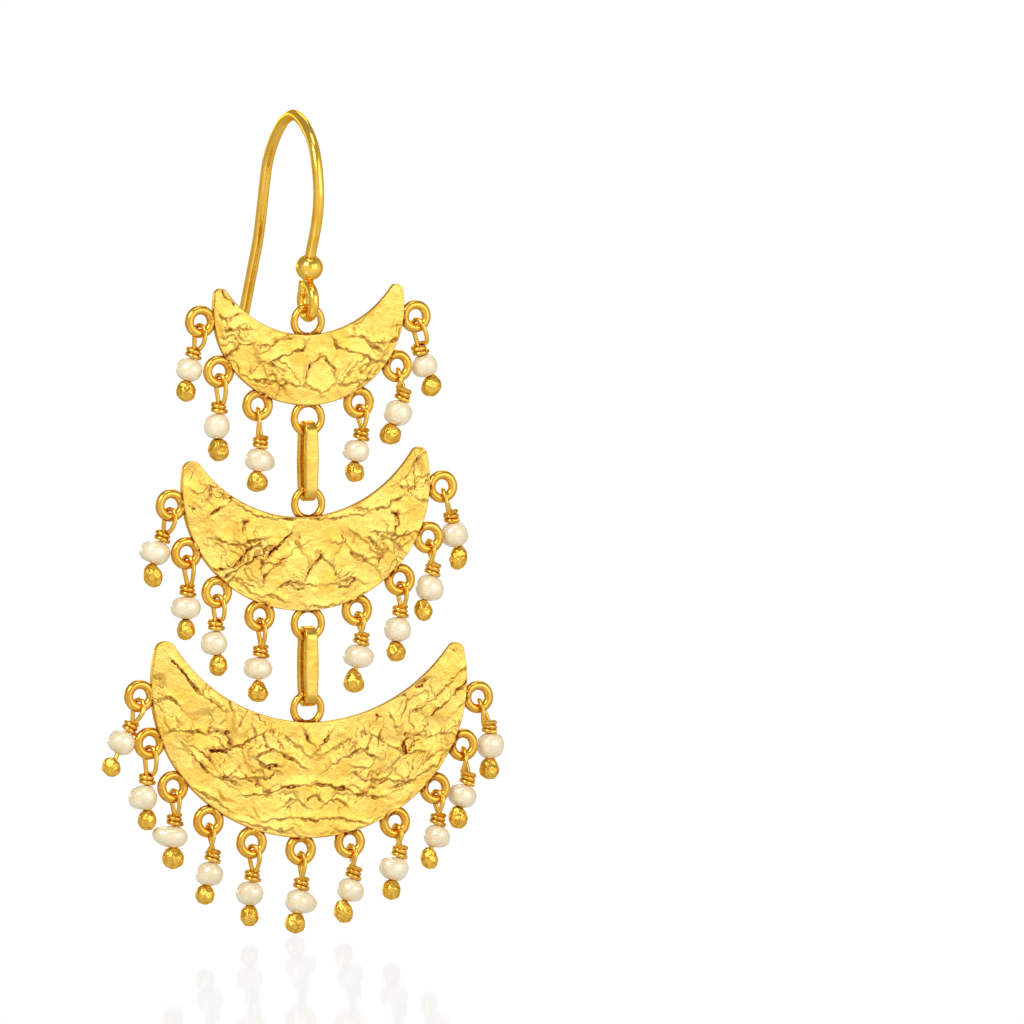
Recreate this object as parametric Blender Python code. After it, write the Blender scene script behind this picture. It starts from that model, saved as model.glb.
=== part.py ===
"""A chandelier earring: three crescent tiers hung one below the other on strap
links from a French ear hook, each edged with pearl drops on wrapped pins.

Metres, +Z up.  The crescents stand in the XZ plane and face -Y.  The origin is
the underside of the hook's crown, where the ear carries it.  The hook bows in
the YZ plane, with its free leg at the back, at +Y.
"""
import math
from collections import namedtuple

import bmesh
import bpy
from mathutils import Matrix, Vector

# Ear hook and its bead
HOOK_WIRE = 0.00100
HOOK_BOW_RADIUS = 0.00660
HOOK_SET_BACK = 0.00340
HOOK_DROP = 0.01769
HOOK_TAIL_DROP = 0.02030
HOOK_EYE_RADIUS = 0.00140
HOOK_NECK_LEAN = math.radians(15)
BEAD_WIDTH = 0.00250
BEAD_HEIGHT = 0.00240

# Crescents: width, height of the bowl's ellipse, radius of the hollow, depth at the middle
SMALL_WIDTH = 0.01876
SMALL_BOWL = 0.01782
SMALL_HOLLOW = 0.01000
SMALL_DEPTH = 0.00648
MEDIUM_WIDTH = 0.02436
MEDIUM_BOWL = 0.02316
MEDIUM_HOLLOW = 0.01278
MEDIUM_DEPTH = 0.00858
LARGE_WIDTH = 0.03100
LARGE_BOWL = 0.02840
LARGE_HOLLOW = 0.01659
LARGE_DEPTH = 0.01062
PLATE_THICKNESS = 0.00070
TIP_RADIUS = 0.00080

# Soldered rings: the centre rings join the tiers, the edge rings carry the drops
TIER_RING_RADIUS = 0.001365
TIER_RING_WIRE = 0.00062
TIER_RING_SET = 0.00117
EDGE_RING_RADIUS = 0.00104
EDGE_RING_WIRE = 0.00078
EDGE_RING_SET = 0.00110
RING_SET_BACK = 0.00006

# Strap links between the tiers
LINK_PITCH = 0.00508
LINK_THICKNESS = 0.00060
LINK_WIDTH = 0.00128
LINK_ROOM = 0.000165
LINK_CHAMFER = 0.00014

# Drops: a wrapped pin, a drilled pearl and a nugget melted on the pin's end
PIN_WIRE = 0.00042
PIN_LOOP_RADIUS = 0.00071
PIN_LENGTH = 0.00320
COIL_RADIUS = 0.00052
COIL_PITCH = 0.00043
COIL_TAIL = 0.00035
PEARL_WIDTH = 0.00255
PEARL_HEIGHT = 0.00200
PEARL_BORE = 0.00062
NUGGET_WIDTH = 0.00170
NUGGET_HEIGHT = 0.00200

# Running clearances
PLAY = 0.00010
BEAD_PLAY = 0.00008
PEARL_SEAT = 0.00003

# Facets
HOOK_SIDES = 8
WIRE_SIDES = 5
RING_STEPS = 10
TIER_RING_STEPS = 11
BEAD_SIDES = 12
ROUND_SIDES = 10
COIL_STEP = math.radians(58)
COIL_START = math.radians(60)
COIL_STEPS = 12
LINK_ARC_STEPS = 6
OUTER_STEPS = 32
INNER_STEPS = 18
TIP_STEPS = 4

PEARL_SQUARENESS = 2.5
FRONT = Vector((0.0, -1.0, 0.0))

# Points that the ear wire runs through after its neck: back from the crown as a share
# of the bow's radius, down from it as a share of the tail's drop, and the facets before it
HookPoint = namedtuple("HookPoint", "back down steps")
HOOK_POINTS = (
    HookPoint(-0.79, 0.475, 1),
    HookPoint(-0.89, 0.374, 1),
    HookPoint(-0.90, 0.271, 2),
    HookPoint(-0.80, 0.148, 2),
    HookPoint(-0.62, 0.064, 2),
    HookPoint(-0.31, -0.002, 2),
    HookPoint(0.00, -0.5 * HOOK_WIRE / HOOK_TAIL_DROP, 2),
    HookPoint(0.27, -0.004, 2),
    HookPoint(0.47, 0.030, 1),
    HookPoint(0.74, 0.106, 2),
    HookPoint(0.97, 0.207, 2),
    HookPoint(1.09, 0.315, 1),
    HookPoint(1.29, 0.532, 2),
    HookPoint(1.50, 0.680, 1),
    HookPoint(1.82, 0.887, 1),
    HookPoint(2.00, 1.000, 1),
)

# One crescent: its sizes, its tilt in its own plane in degrees, how far it sits to one
# side of its hanging ring as a share of its width, and its tips' shares of the radius
Tier = namedtuple("Tier", "name width bowl hollow depth tilt aside left_tip right_tip")
TIERS = (
    Tier("small", SMALL_WIDTH, SMALL_BOWL, SMALL_HOLLOW, SMALL_DEPTH, -0.4, 0.0, 0.85, 0.75),
    Tier("medium", MEDIUM_WIDTH, MEDIUM_BOWL, MEDIUM_HOLLOW, MEDIUM_DEPTH, 1.3, -0.011, 1.2, 1.0),
    Tier("large", LARGE_WIDTH, LARGE_BOWL, LARGE_HOLLOW, LARGE_DEPTH, -2.3, 0.0, 1.3, 1.0),
)

# One drop and its edge ring, from left to right along each crescent.  Angles are in
# degrees: the ring's station round the bowl from straight down, the lean of the pin's
# loop (right is positive), the loop's turn about the vertical and the lean of what
# hangs under it.  Lengths are shares of the named sizes: stand is the ring's distance
# off the edge, off is the pearl's body to one side of its bore as a share of its width,
# and bulge is how far the pearl stands out towards bulge_way, an angle in the plane.
Drop = namedtuple("Drop", "station stand loop_lean turn lean pin pearl_w pearl_h off "
                          "bulge bulge_way nugget_w nugget_h neck")
DROPS = {
    "small": (
        Drop(-84.0, 1.12, -1, 24, -12, 0.94, 0.95, 0.97, -0.03, 0.03, 120, 1.02, 0.96, 0.0),
        Drop(-56.0, 1.05, 10, 20, 0, 1.08, 0.92, 1.08, -0.07, 0.02, 60, 1.10, 1.04, 0.0),
        Drop(-28.0, 0.94, 7, -18, -5, 1.13, 0.98, 0.98, 0.00, 0.24, -25, 1.05, 0.96, 0.0),
        Drop(29.0, 0.96, 19, 22, -10, 0.98, 0.95, 0.94, -0.09, 0.03, 200, 0.99, 0.94, 0.0),
        Drop(57.0, 1.02, 19, -15, -19, 0.96, 1.01, 1.06, 0.03, 0.04, 20, 1.11, 0.96, 0.0),
        Drop(84.5, 1.13, 16, 22, 20, 1.02, 0.95, 0.95, 0.00, 0.03, 90, 1.03, 1.00, 0.0),
    ),
    "medium": (
        Drop(-84.0, 1.00, -4, 24, -15, 0.93, 1.08, 0.98, -0.12, 0.03, 180, 0.96, 1.10, 0.0),
        Drop(-63.0, 0.98, 12, 20, -2, 1.12, 1.08, 0.95, -0.04, 0.03, 0, 0.95, 0.99, 0.0),
        Drop(-42.0, 1.03, 9, 24, 4, 0.98, 0.95, 1.02, -0.11, 0.03, 240, 0.94, 1.00, 0.0),
        Drop(-21.0, 0.97, 10, 8, -4, 1.08, 1.02, 0.93, -0.07, 0.03, 0, 0.99, 1.00, 0.06),
        Drop(21.5, 0.93, 21, 6, -11, 0.94, 1.08, 0.97, 0.02, 0.03, 180, 1.02, 1.10, 0.08),
        Drop(43.5, 0.96, 13, 18, -6, 0.96, 0.95, 1.05, -0.03, 0.03, -30, 0.99, 0.94, 0.0),
        Drop(64.5, 0.99, 19, 4, -14, 1.02, 1.02, 1.08, 0.06, 0.02, 90, 0.92, 0.99, 0.0),
        Drop(86.0, 1.17, 20, -18, 11, 0.99, 0.98, 1.05, -0.02, 0.03, 0, 0.92, 1.10, 0.0),
    ),
    "large": (
        Drop(-84.5, 1.00, -4, 24, -27, 0.95, 0.99, 1.00, -0.05, 0.02, 150, 0.95, 0.90, 0.26),
        Drop(-68.0, 1.02, 6, 26, 1, 1.06, 1.04, 1.06, -0.15, 0.03, 0, 0.96, 0.98, 0.0),
        Drop(-51.0, 1.07, 13, 12, -2, 1.00, 1.10, 0.93, -0.05, 0.40, 165, 1.11, 1.00, 0.0),
        Drop(-34.0, 1.09, 16, 2, -12, 1.09, 0.95, 1.01, 0.04, 0.13, 212, 0.99, 0.91, 0.0),
        Drop(-17.5, 1.07, 14, 24, -4, 1.00, 0.98, 1.01, -0.05, 0.02, 200, 0.93, 0.98, 0.0),
        Drop(-0.5, 0.94, 9, 2, -9, 1.04, 1.02, 1.03, 0.03, 0.32, -12, 1.07, 0.93, 0.0),
        Drop(16.5, 0.82, 19, 4, -16, 0.99, 0.98, 0.95, 0.07, 0.03, -40, 0.97, 1.07, 0.0),
        Drop(33.5, 0.80, 21, 4, -13, 0.96, 1.02, 0.99, -0.06, 0.16, 150, 0.95, 0.91, 0.0),
        Drop(51.5, 0.83, 20, 20, -13, 0.98, 0.95, 0.93, 0.12, 0.04, 60, 0.88, 1.00, 0.06),
        Drop(69.0, 0.91, 15, -12, -15, 1.08, 1.02, 0.97, -0.05, 0.03, 160, 0.99, 1.03, 0.0),
        Drop(86.0, 1.14, 26, -18, 0, 1.04, 0.96, 1.07, 0.04, 0.14, 45, 1.02, 1.00, 0.0),
    ),
}

# Finishes: base colour, roughness
GOLD_PLATE = ((0.90, 0.66, 0.20), 0.34)
GOLD_BRIGHT = ((0.92, 0.64, 0.18), 0.20)
GOLD_DEEP = ((0.85, 0.50, 0.10), 0.24)
PEARL_CREAM = ((0.90, 0.84, 0.74), 0.22)


def clear_scene():
    """Start from an empty scene."""
    for old in list(bpy.data.objects):
        bpy.data.objects.remove(old, do_unlink=True)


def finish_material(name, finish, metallic):
    """A Principled material of one sub-part."""
    colour, roughness = finish
    material = bpy.data.materials.new(name + "_finish")
    material.use_nodes = True
    shader = material.node_tree.nodes["Principled BSDF"]
    shader.inputs["Base Color"].default_value = (*colour, 1.0)
    shader.inputs["Roughness"].default_value = roughness
    shader.inputs["Metallic"].default_value = metallic
    return material


def empty_at(name, place, parent=None):
    """An empty on a joint's axis, at a world place."""
    empty = bpy.data.objects.new(name, None)
    empty.empty_display_size = 0.002
    bpy.context.collection.objects.link(empty)
    if parent is not None:
        empty.parent = parent
        place = place - world_place(parent)
    empty.location = place
    return empty


def world_place(obj):
    """Where an object's origin lies in the world; nothing here is turned or scaled."""
    place = obj.location.copy()
    while obj.parent is not None:
        obj = obj.parent
        place += obj.location
    return place


def piece(name, bm, origin, parent, finish, metallic=1.0, guide=False):
    """An object from a mesh in world places, with its origin where it is carried."""
    bmesh.ops.recalc_face_normals(bm, faces=bm.faces[:])
    bm.transform(Matrix.Translation(-origin))
    mesh = bpy.data.meshes.new(name)
    bm.to_mesh(mesh)
    bm.free()
    obj = bpy.data.objects.new(name, mesh)
    bpy.context.collection.objects.link(obj)
    obj.parent = parent
    obj.location = origin - world_place(parent)
    if guide:
        obj.hide_render = True
        obj.display_type = "WIRE"
        return obj
    mesh.materials.append(finish_material(name, finish, metallic))
    mesh.shade_smooth()
    mesh.set_sharp_from_angle(angle=math.radians(50))
    return obj


def ring_of(bm, points):
    """New vertices at the given points."""
    return [bm.verts.new(p) for p in points]


def bridge(bm, first, second):
    """Quads between two rings of as many vertices."""
    count = len(first)
    for i in range(count):
        j = (i + 1) % count
        bm.faces.new((first[i], first[j], second[j], second[i]))


def bridge_doubled(bm, first, second):
    """Triangles between a ring and one of twice its vertices."""
    count = len(first)
    for i in range(count):
        a, b = first[i], first[(i + 1) % count]
        c, d, e = second[2 * i], second[2 * i + 1], second[(2 * i + 2) % len(second)]
        bm.faces.new((a, c, d))
        bm.faces.new((a, d, b))
        bm.faces.new((b, d, e))


def fan(bm, ring, tip):
    """Triangles from a ring to one point."""
    for i in range(len(ring)):
        bm.faces.new((ring[i], ring[(i + 1) % len(ring)], tip))


def loop_round(bm, rings):
    """A closed band of rings, the last joined to the first."""
    for i in range(len(rings)):
        bridge(bm, rings[i - 1], rings[i])


def section(centre, across, up, radius, sides, phase=0.0):
    """Points of a regular section round a centre."""
    turns = [phase + math.tau * i / sides for i in range(sides)]
    return [centre + (across * math.cos(t) + up * math.sin(t)) * radius for t in turns]


def frames_along(path, reference):
    """Across and up vectors at each point of a path, turning as little as they can."""
    frames = []
    across = reference
    for i, point in enumerate(path):
        before = path[max(i - 1, 0)]
        after = path[min(i + 1, len(path) - 1)]
        ahead = (after - before).normalized()
        across = (across - ahead * across.dot(ahead)).normalized()
        frames.append((point, across, ahead.cross(across)))
    return frames


def wire_rings(bm, path, reference, diameter, sides):
    """Rings of a round wire along a path, joined by quads."""
    rings = []
    for point, across, up in frames_along(path, reference):
        rings.append(ring_of(bm, section(point, across, up, diameter / 2, sides)))
    for first, second in zip(rings, rings[1:]):
        bridge(bm, first, second)
    return rings


def round_end(bm, ring, end, diameter, share=0.55):
    """A blunt dome on the last ring of a wire."""
    centre = sum((v.co for v in ring), Vector()) / len(ring)
    way = (end - centre).normalized()
    inner = ring_of(bm, [centre + (v.co - centre) * share + way * diameter * 0.3 for v in ring])
    bridge(bm, ring, inner)
    fan(bm, inner, bm.verts.new(centre + way * diameter * 0.42))


def torus(bm, centre, radius, wire, steps, sides):
    """A round ring in the crescent's plane."""
    rings = []
    for i in range(steps):
        angle = math.tau * (i + 0.5) / steps
        out = Vector((math.cos(angle), 0.0, math.sin(angle)))
        rings.append(ring_of(bm, section(centre + out * radius, out, FRONT, wire / 2, sides, 0.3)))
    loop_round(bm, rings)


# The hook


def through(points, steps):
    """Points of a smooth curve through the given ones, each span cut into its steps."""
    curve = []
    for i in range(1, len(points)):
        before = points[max(i - 2, 0)]
        start, stop = points[i - 1], points[i]
        after = points[min(i + 1, len(points) - 1)]
        for j in range(1, steps[i] + 1):
            t = j / steps[i]
            curve.append(hermite(before, start, stop, after, t))
    return curve


def hermite(before, start, stop, after, t):
    """A point between start and stop on the smooth curve through all four."""
    leaving = (stop - before) / 2
    arriving = (after - start) / 2
    rest = 1.0 - t
    return (start * (1 + 2 * t) * rest * rest + leaving * t * rest * rest
            + stop * t * t * (3 - 2 * t) - arriving * t * t * rest)


def neck_places():
    """Where the ear wire's straight neck starts above the eye, and its way up."""
    start = Vector((0.0, -HOOK_SET_BACK, 2 * HOOK_EYE_RADIUS - HOOK_DROP + HOOK_WIRE / 2))
    way = Vector((0.0, -math.sin(HOOK_NECK_LEAN), math.cos(HOOK_NECK_LEAN)))
    return start, way


def hook_path():
    """The ear wire's centre line, from the eye's free end to the free leg's tip."""
    eye = Vector((0.0, -HOOK_SET_BACK, HOOK_EYE_RADIUS - HOOK_DROP))
    free_end = math.asin((HOOK_WIRE + 1.6 * PLAY) / (2 * HOOK_EYE_RADIUS)) * 2
    path = []
    eye_steps = 14
    for i in range(eye_steps):
        angle = free_end + (math.tau - free_end) * i / eye_steps
        path.append(eye + Vector((0.0, math.sin(angle), math.cos(angle))) * HOOK_EYE_RADIUS)
    neck, way = neck_places()
    path.append(neck)
    path.append(neck + way * (BEAD_HEIGHT + PLAY))
    knots = [path[-1]]
    for point in HOOK_POINTS:
        knots.append(Vector((0.0, point.back * HOOK_BOW_RADIUS, -point.down * HOOK_TAIL_DROP)))
    return path + through(knots, [0] + [point.steps for point in HOOK_POINTS])


def make_hook(pivot):
    """The ear wire with its closed eye, and the bead threaded on it."""
    bm = bmesh.new()
    path = hook_path()
    rings = wire_rings(bm, path, Vector((1.0, 0.0, 0.0)), HOOK_WIRE, HOOK_SIDES)
    round_end(bm, rings[-1], path[-1] * 2 - path[-2], HOOK_WIRE)
    bm.faces.new(rings[0])
    hook = piece("ear_hook", bm, pivot, empty_at("ear_seat", pivot), GOLD_BRIGHT)

    bm = bmesh.new()
    neck, way = neck_places()
    middle = neck + way * (PLAY + BEAD_HEIGHT) / 2
    drilled_bead(bm, middle, -way, BEAD_WIDTH, BEAD_HEIGHT,
                 HOOK_WIRE + 2 * BEAD_PLAY, BEAD_SIDES, (38, 72, 108, 142))
    piece("hook_bead", bm, middle, hook.parent, GOLD_BRIGHT)
    return hook.parent


# Beads and pearls


def drilled_bead(bm, middle, down, width, height, bore, sides, latitudes,
                 squareness=2.0, off=0.0, bulge=0.0, bulge_way=0.0):
    """A round body with a straight bore along down, off to one side of it or swollen."""
    across = Vector((0.0, 1.0, 0.0)).cross(down).normalized()
    up = down.cross(across)
    swell = Vector((math.cos(math.radians(bulge_way)), 0.0, math.sin(math.radians(bulge_way))))
    aside = across * (across.x * off * width)
    power = 2.0 / squareness
    rim = height / 2 * (1.0 - (bore / width) ** squareness) ** (1.0 / squareness)
    rings = [ring_of(bm, section(middle - down * rim, across, up, bore / 2, sides))]
    for degrees in latitudes:
        polar = math.radians(degrees)
        out = math.sin(polar) ** power * width / 2
        along = math.copysign(abs(math.cos(polar)) ** power, -math.cos(polar)) * height / 2
        points = section(middle + aside + down * along, across, up, out, sides)
        for i, point in enumerate(points):
            facing = max(0.0, (point - middle - aside).normalized().dot(swell))
            points[i] = point + swell * (facing ** 3 * bulge * width / 2)
        rings.append(ring_of(bm, points))
    rings.append(ring_of(bm, section(middle + down * rim, across, up, bore / 2, sides)))
    loop_round(bm, rings)


# Crescents


def nearest_on_bowl(point, half_width, half_height):
    """The bowl ellipse's angle, from straight down, nearest to a point."""
    angle = math.atan2(point.x / half_width, -point.y / half_height)
    for _ in range(30):
        sin, cos = math.sin(angle), math.cos(angle)
        gap_x = half_width * sin - point.x
        gap_z = -half_height * cos - point.y
        slope = gap_x * half_width * cos + gap_z * half_height * sin
        bend = (half_width * cos) ** 2 + (half_height * sin) ** 2
        angle -= slope / bend * 0.7
    return angle


def bowl_point(tier, angle):
    """A point of the bowl's edge from its ellipse's centre, and the way out there."""
    half_width, half_height = tier.width / 2, tier.bowl / 2
    at = Vector((half_width * math.sin(angle), -half_height * math.cos(angle)))
    out = Vector((math.sin(angle) / half_width, -math.cos(angle) / half_height)).normalized()
    return at, out


def tip_fillet(tier, radius):
    """A right tip's rounding: its centre, and where it meets the bowl and the hollow."""
    hollow_centre = Vector((0.0, tier.depth + tier.hollow - tier.bowl / 2))
    reach = tier.hollow + radius
    low, high = 0.0, math.radians(150)
    for _ in range(50):
        middle = (low + high) / 2
        centre = hollow_centre + Vector((math.sin(middle), -math.cos(middle))) * reach
        angle = nearest_on_bowl(centre, tier.width / 2, tier.bowl / 2)
        at, out = bowl_point(tier, angle)
        if (at - centre).dot(out) > radius:
            low = middle
        else:
            high = middle
    return centre, angle, low, hollow_centre


def tip_points(tier, radius):
    """Points round a right tip, from the bowl to the hollow."""
    centre, bowl_end, _, hollow_centre = tip_fillet(tier, radius)
    start = math.atan2(*reversed(bowl_point(tier, bowl_end)[0] - centre))
    stop = math.atan2(*reversed(hollow_centre - centre))
    if stop < start:
        stop += math.tau
    turns = [start + (stop - start) * i / TIP_STEPS for i in range(1, TIP_STEPS)]
    return [centre + Vector((math.cos(t), math.sin(t))) * radius for t in turns]


def crescent_outline(tier):
    """The crescent's edge, anticlockwise from its left tip, from the ellipse's centre."""
    left_radius, right_radius = tier.left_tip * TIP_RADIUS, tier.right_tip * TIP_RADIUS
    _, bowl_left, hollow_left, _ = tip_fillet(tier, left_radius)
    _, bowl_right, hollow_right, hollow_centre = tip_fillet(tier, right_radius)
    points = []
    for i in range(OUTER_STEPS + 1):
        points.append(bowl_point(tier, (bowl_left + bowl_right) * i / OUTER_STEPS - bowl_left)[0])
    points += tip_points(tier, right_radius)
    for i in range(INNER_STEPS + 1):
        angle = hollow_right - (hollow_left + hollow_right) * i / INNER_STEPS
        points.append(hollow_centre + Vector((math.sin(angle), -math.cos(angle))) * tier.hollow)
    return points + [Vector((-p.x, p.y)) for p in reversed(tip_points(tier, left_radius))]


def tier_layout(tier, hang):
    """Places on one tier, from the world place of its hanging ring's top wire."""
    tilt = Matrix.Rotation(math.radians(-tier.tilt), 3, "Y")
    top_ring = Vector((0.0, 0.0, -TIER_RING_RADIUS))
    aside = tier.aside * tier.width
    upper_edge = top_ring.z - TIER_RING_SET
    bowl_centre = Vector((aside, 0.0, upper_edge - tier.depth + tier.bowl / 2))
    foot = upper_edge - tier.depth - TIER_RING_SET
    low_ring = Vector((foot * math.tan(math.radians(tier.tilt)), 0.0, foot))
    edge_rings = []
    for drop in DROPS[tier.name]:
        at, out = bowl_point(tier, math.radians(drop.station))
        seat = at + out * (drop.stand * EDGE_RING_SET)
        edge_rings.append(bowl_centre + Vector((seat.x, 0.0, seat.y)))
    place = Matrix.Translation(hang) @ tilt.to_4x4()
    back = Vector((0.0, RING_SET_BACK, 0.0))
    return {
        "place": place,
        "bowl_centre": bowl_centre,
        "top_ring": top_ring + back,
        "low_ring": low_ring + back,
        "edge_rings": [c + back for c in edge_rings],
        "low_wire": place @ low_ring - Vector((0.0, 0.0, TIER_RING_RADIUS)),
    }


def make_crescent(tier, layout, pivot, parent, has_low_ring):
    """One crescent with its rings soldered to its edge, as one solid."""
    bm = bmesh.new()
    outline = crescent_outline(tier)
    faces = []
    for y in (-PLATE_THICKNESS / 2, PLATE_THICKNESS / 2):
        points = [layout["bowl_centre"] + Vector((p.x, y, p.y)) for p in outline]
        faces.append(ring_of(bm, points))
        bm.faces.new(faces[-1])
    bridge(bm, faces[0], faces[1])
    bm.transform(layout["place"])
    crescent = piece("crescent_" + tier.name, bm, pivot, parent, GOLD_PLATE)

    bm = bmesh.new()
    tier_rings = [layout["top_ring"]]
    if has_low_ring:
        tier_rings.append(layout["low_ring"])
    for centre in tier_rings:
        torus(bm, centre, TIER_RING_RADIUS, TIER_RING_WIRE, TIER_RING_STEPS, WIRE_SIDES)
    for centre in layout["edge_rings"]:
        torus(bm, centre, EDGE_RING_RADIUS, EDGE_RING_WIRE, RING_STEPS, WIRE_SIDES)
    bm.transform(layout["place"])
    rings = piece("rings_" + tier.name, bm, pivot, parent, None, guide=True)
    solder = crescent.modifiers.new("solder", "BOOLEAN")
    solder.operation = "UNION"
    solder.solver = "EXACT"
    solder.object = rings
    return crescent


# Links


def make_link(name, upper, lower, parent):
    """A flat strap bent into a long closed link round two ring wires."""
    bend = TIER_RING_WIRE / 2 + LINK_ROOM + LINK_THICKNESS / 2
    half_w, half_t, cut = LINK_WIDTH / 2, LINK_THICKNESS / 2, LINK_CHAMFER
    corners = ((half_w, half_t - cut), (half_w - cut, half_t), (cut - half_w, half_t), (-half_w, half_t - cut),
               (-half_w, cut - half_t), (cut - half_w, -half_t), (half_w - cut, -half_t), (half_w, cut - half_t))
    bm = bmesh.new()
    rings = []
    for centre, first in ((upper, 0.0), (lower, math.pi)):
        for i in range(LINK_ARC_STEPS + 1):
            angle = first + math.pi * i / LINK_ARC_STEPS
            out = Vector((0.0, math.cos(angle), math.sin(angle)))
            points = [centre + out * (bend + t) + Vector((w, 0.0, 0.0)) for w, t in corners]
            rings.append(ring_of(bm, points))
    loop_round(bm, rings)
    return piece(name, bm, upper, parent, GOLD_BRIGHT)


# Drops


def drop_places(drop, ring_centre):
    """Points and directions that one drop's pieces share."""
    lean = Matrix.Rotation(math.radians(-drop.loop_lean), 3, "Y")
    turn = Matrix.Rotation(math.radians(drop.turn), 3, "Z")
    rear = turn @ -FRONT
    wire = Vector((0.0, 0.0, -EDGE_RING_RADIUS))
    shown_middle = COIL_PITCH * (math.tau - COIL_START) / math.tau + COIL_PITCH / 2
    knee_depth = drop.pin * PIN_LENGTH - shown_middle
    loop = [rear * PIN_LOOP_RADIUS + Vector((0.0, 0.0, -knee_depth)), wire + rear * PIN_LOOP_RADIUS]
    arc_steps = 5
    for i in range(1, arc_steps + 1):
        angle = math.pi * i / arc_steps
        loop.append(wire + (rear * math.cos(angle) + Vector((0.0, 0.0, math.sin(angle)))) * PIN_LOOP_RADIUS)
    loop = [ring_centre + lean @ p for p in loop]
    down = Matrix.Rotation(math.radians(-drop.lean), 3, "Y") @ Vector((0.0, 0.0, -1.0))
    front = lean @ -rear
    front = (front - down * front.dot(down)).normalized()
    side = (-down).cross(front)
    knee = loop[0]
    coil_end = COIL_STEPS * COIL_STEP
    pearl_top = COIL_PITCH * coil_end / math.tau + PIN_WIRE / 2 + PEARL_SEAT
    pearl_height = drop.pearl_h * PEARL_HEIGHT
    return {
        "loop": loop,
        "knee": knee,
        "down": down,
        "front": front,
        "side": side,
        "pearl_middle": knee + down * (pearl_top + pearl_height / 2),
        "nugget_top": knee + down * (pearl_top + pearl_height + drop.neck * NUGGET_HEIGHT),
    }


def coil_points(places):
    """The wrap: down from the loop's front leg and round the shaft to its tail."""
    knee, down, front, side = (places[k] for k in ("knee", "down", "front", "side"))
    leg_end = places["loop"][-1]
    low_leg = leg_end + down * (knee - leg_end).dot(down)
    reach = (low_leg - knee).length
    points = [low_leg - down * PIN_WIRE * 1.3,
              low_leg - down * PIN_WIRE * 0.35 - front * reach * 0.10 + side * reach * 0.04]
    for i in range(COIL_STEPS + 1):
        angle = COIL_START + i * COIL_STEP
        around = front * math.cos(angle) + side * math.sin(angle)
        points.append(knee + around * COIL_RADIUS + down * (COIL_PITCH * i * COIL_STEP / math.tau))
    angle = COIL_START + COIL_STEPS * COIL_STEP
    onward = side * math.cos(angle) - front * math.sin(angle)
    points.append(points[-1] + (onward + front * math.cos(angle) * 0.4).normalized() * COIL_TAIL)
    return points


def make_pin(name, drop, places, ring_centre, parent):
    """The drop's pin: nugget, shaft, loop through the ring, and wrap, in one wire."""
    knee, down = places["knee"], places["down"]
    top = places["nugget_top"]
    width, height = drop.nugget_w * NUGGET_WIDTH, drop.nugget_h * NUGGET_HEIGHT
    path = [top, knee] + places["loop"][1:] + coil_points(places)
    bm = bmesh.new()
    rings = wire_rings(bm, path, places["side"], PIN_WIRE, WIRE_SIDES)
    bm.faces.new(rings[-1])

    across = Vector((0.0, 0.0, 0.0))
    across += (rings[0][0].co - top).normalized()
    up = (path[1] - path[0]).normalized().cross(across)
    shoulder = rings[0]
    for share, reach in ((0.18, 0.74), (0.50, 1.02), (0.82, 0.74)):
        points = section(top + down * height * share, across, up, width / 2 * reach, ROUND_SIDES)
        body = ring_of(bm, points)
        if len(shoulder) == WIRE_SIDES:
            bridge_doubled(bm, shoulder, body)
        else:
            bridge(bm, shoulder, body)
        shoulder = body
    fan(bm, shoulder, bm.verts.new(top + down * height))
    return piece(name, bm, ring_centre, parent, GOLD_DEEP)


def make_pearl(name, drop, places, ring_centre, parent):
    """The drilled pearl on its pin."""
    bm = bmesh.new()
    drilled_bead(bm, places["pearl_middle"], places["down"], drop.pearl_w * PEARL_WIDTH,
                 drop.pearl_h * PEARL_HEIGHT, PEARL_BORE, ROUND_SIDES, (36, 72, 108, 144),
                 PEARL_SQUARENESS, drop.off, drop.bulge, drop.bulge_way)
    return piece(name, bm, ring_centre, parent, PEARL_CREAM, metallic=0.0)


def make_drops(tier, layout, parent):
    """Every drop of one tier, numbered from the left."""
    for number, (drop, centre) in enumerate(zip(DROPS[tier.name], layout["edge_rings"]), start=1):
        ring_centre = layout["place"] @ centre
        places = drop_places(drop, ring_centre)
        tag = f"{tier.name}_{number}"
        make_pin("pin_" + tag, drop, places, ring_centre, parent)
        make_pearl("pearl_" + tag, drop, places, ring_centre, parent)


def build():
    """The whole earring, from the ear seat down."""
    clear_scene()
    parent = make_hook(Vector((0.0, 0.0, 0.0)))
    hang = Vector((0.0, -HOOK_SET_BACK, (HOOK_WIRE + TIER_RING_WIRE) / 2 + PLAY - HOOK_DROP))
    link_names = ("link_upper", "link_lower")
    for index, tier in enumerate(TIERS):
        swing = empty_at("swing_" + tier.name, hang, parent)
        layout = tier_layout(tier, hang)
        has_link = index < len(link_names)
        make_crescent(tier, layout, hang, swing, has_link)
        make_drops(tier, layout, swing)
        if has_link:
            upper = layout["low_wire"] + Vector((0.0, RING_SET_BACK, 0.0))
            lower = upper - Vector((0.0, 0.0, LINK_PITCH))
            parent = empty_at("swing_" + link_names[index], upper, swing)
            make_link(link_names[index], upper, lower, parent)
            hang = lower - Vector((0.0, RING_SET_BACK, 0.0))
    bpy.context.view_layer.update()


build()
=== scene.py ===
"""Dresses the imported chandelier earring: three crumpled gold crescents hung on strap
links from a French ear hook, each edged with pearl drops on wrapped pins.

Metres, +Z up, the crescents facing -Y, as in the part's solids.  Each sub-assembly is
a class that builds its meshes at their places in the frame and dresses them.
"""
import logging
import math
import sys
from dataclasses import dataclass, field
from enum import Enum
from typing import Dict, List, NamedTuple, Optional, Sequence, Tuple

import bmesh
import bpy
import numpy as np
from mathutils import Matrix, Vector, kdtree, noise

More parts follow.
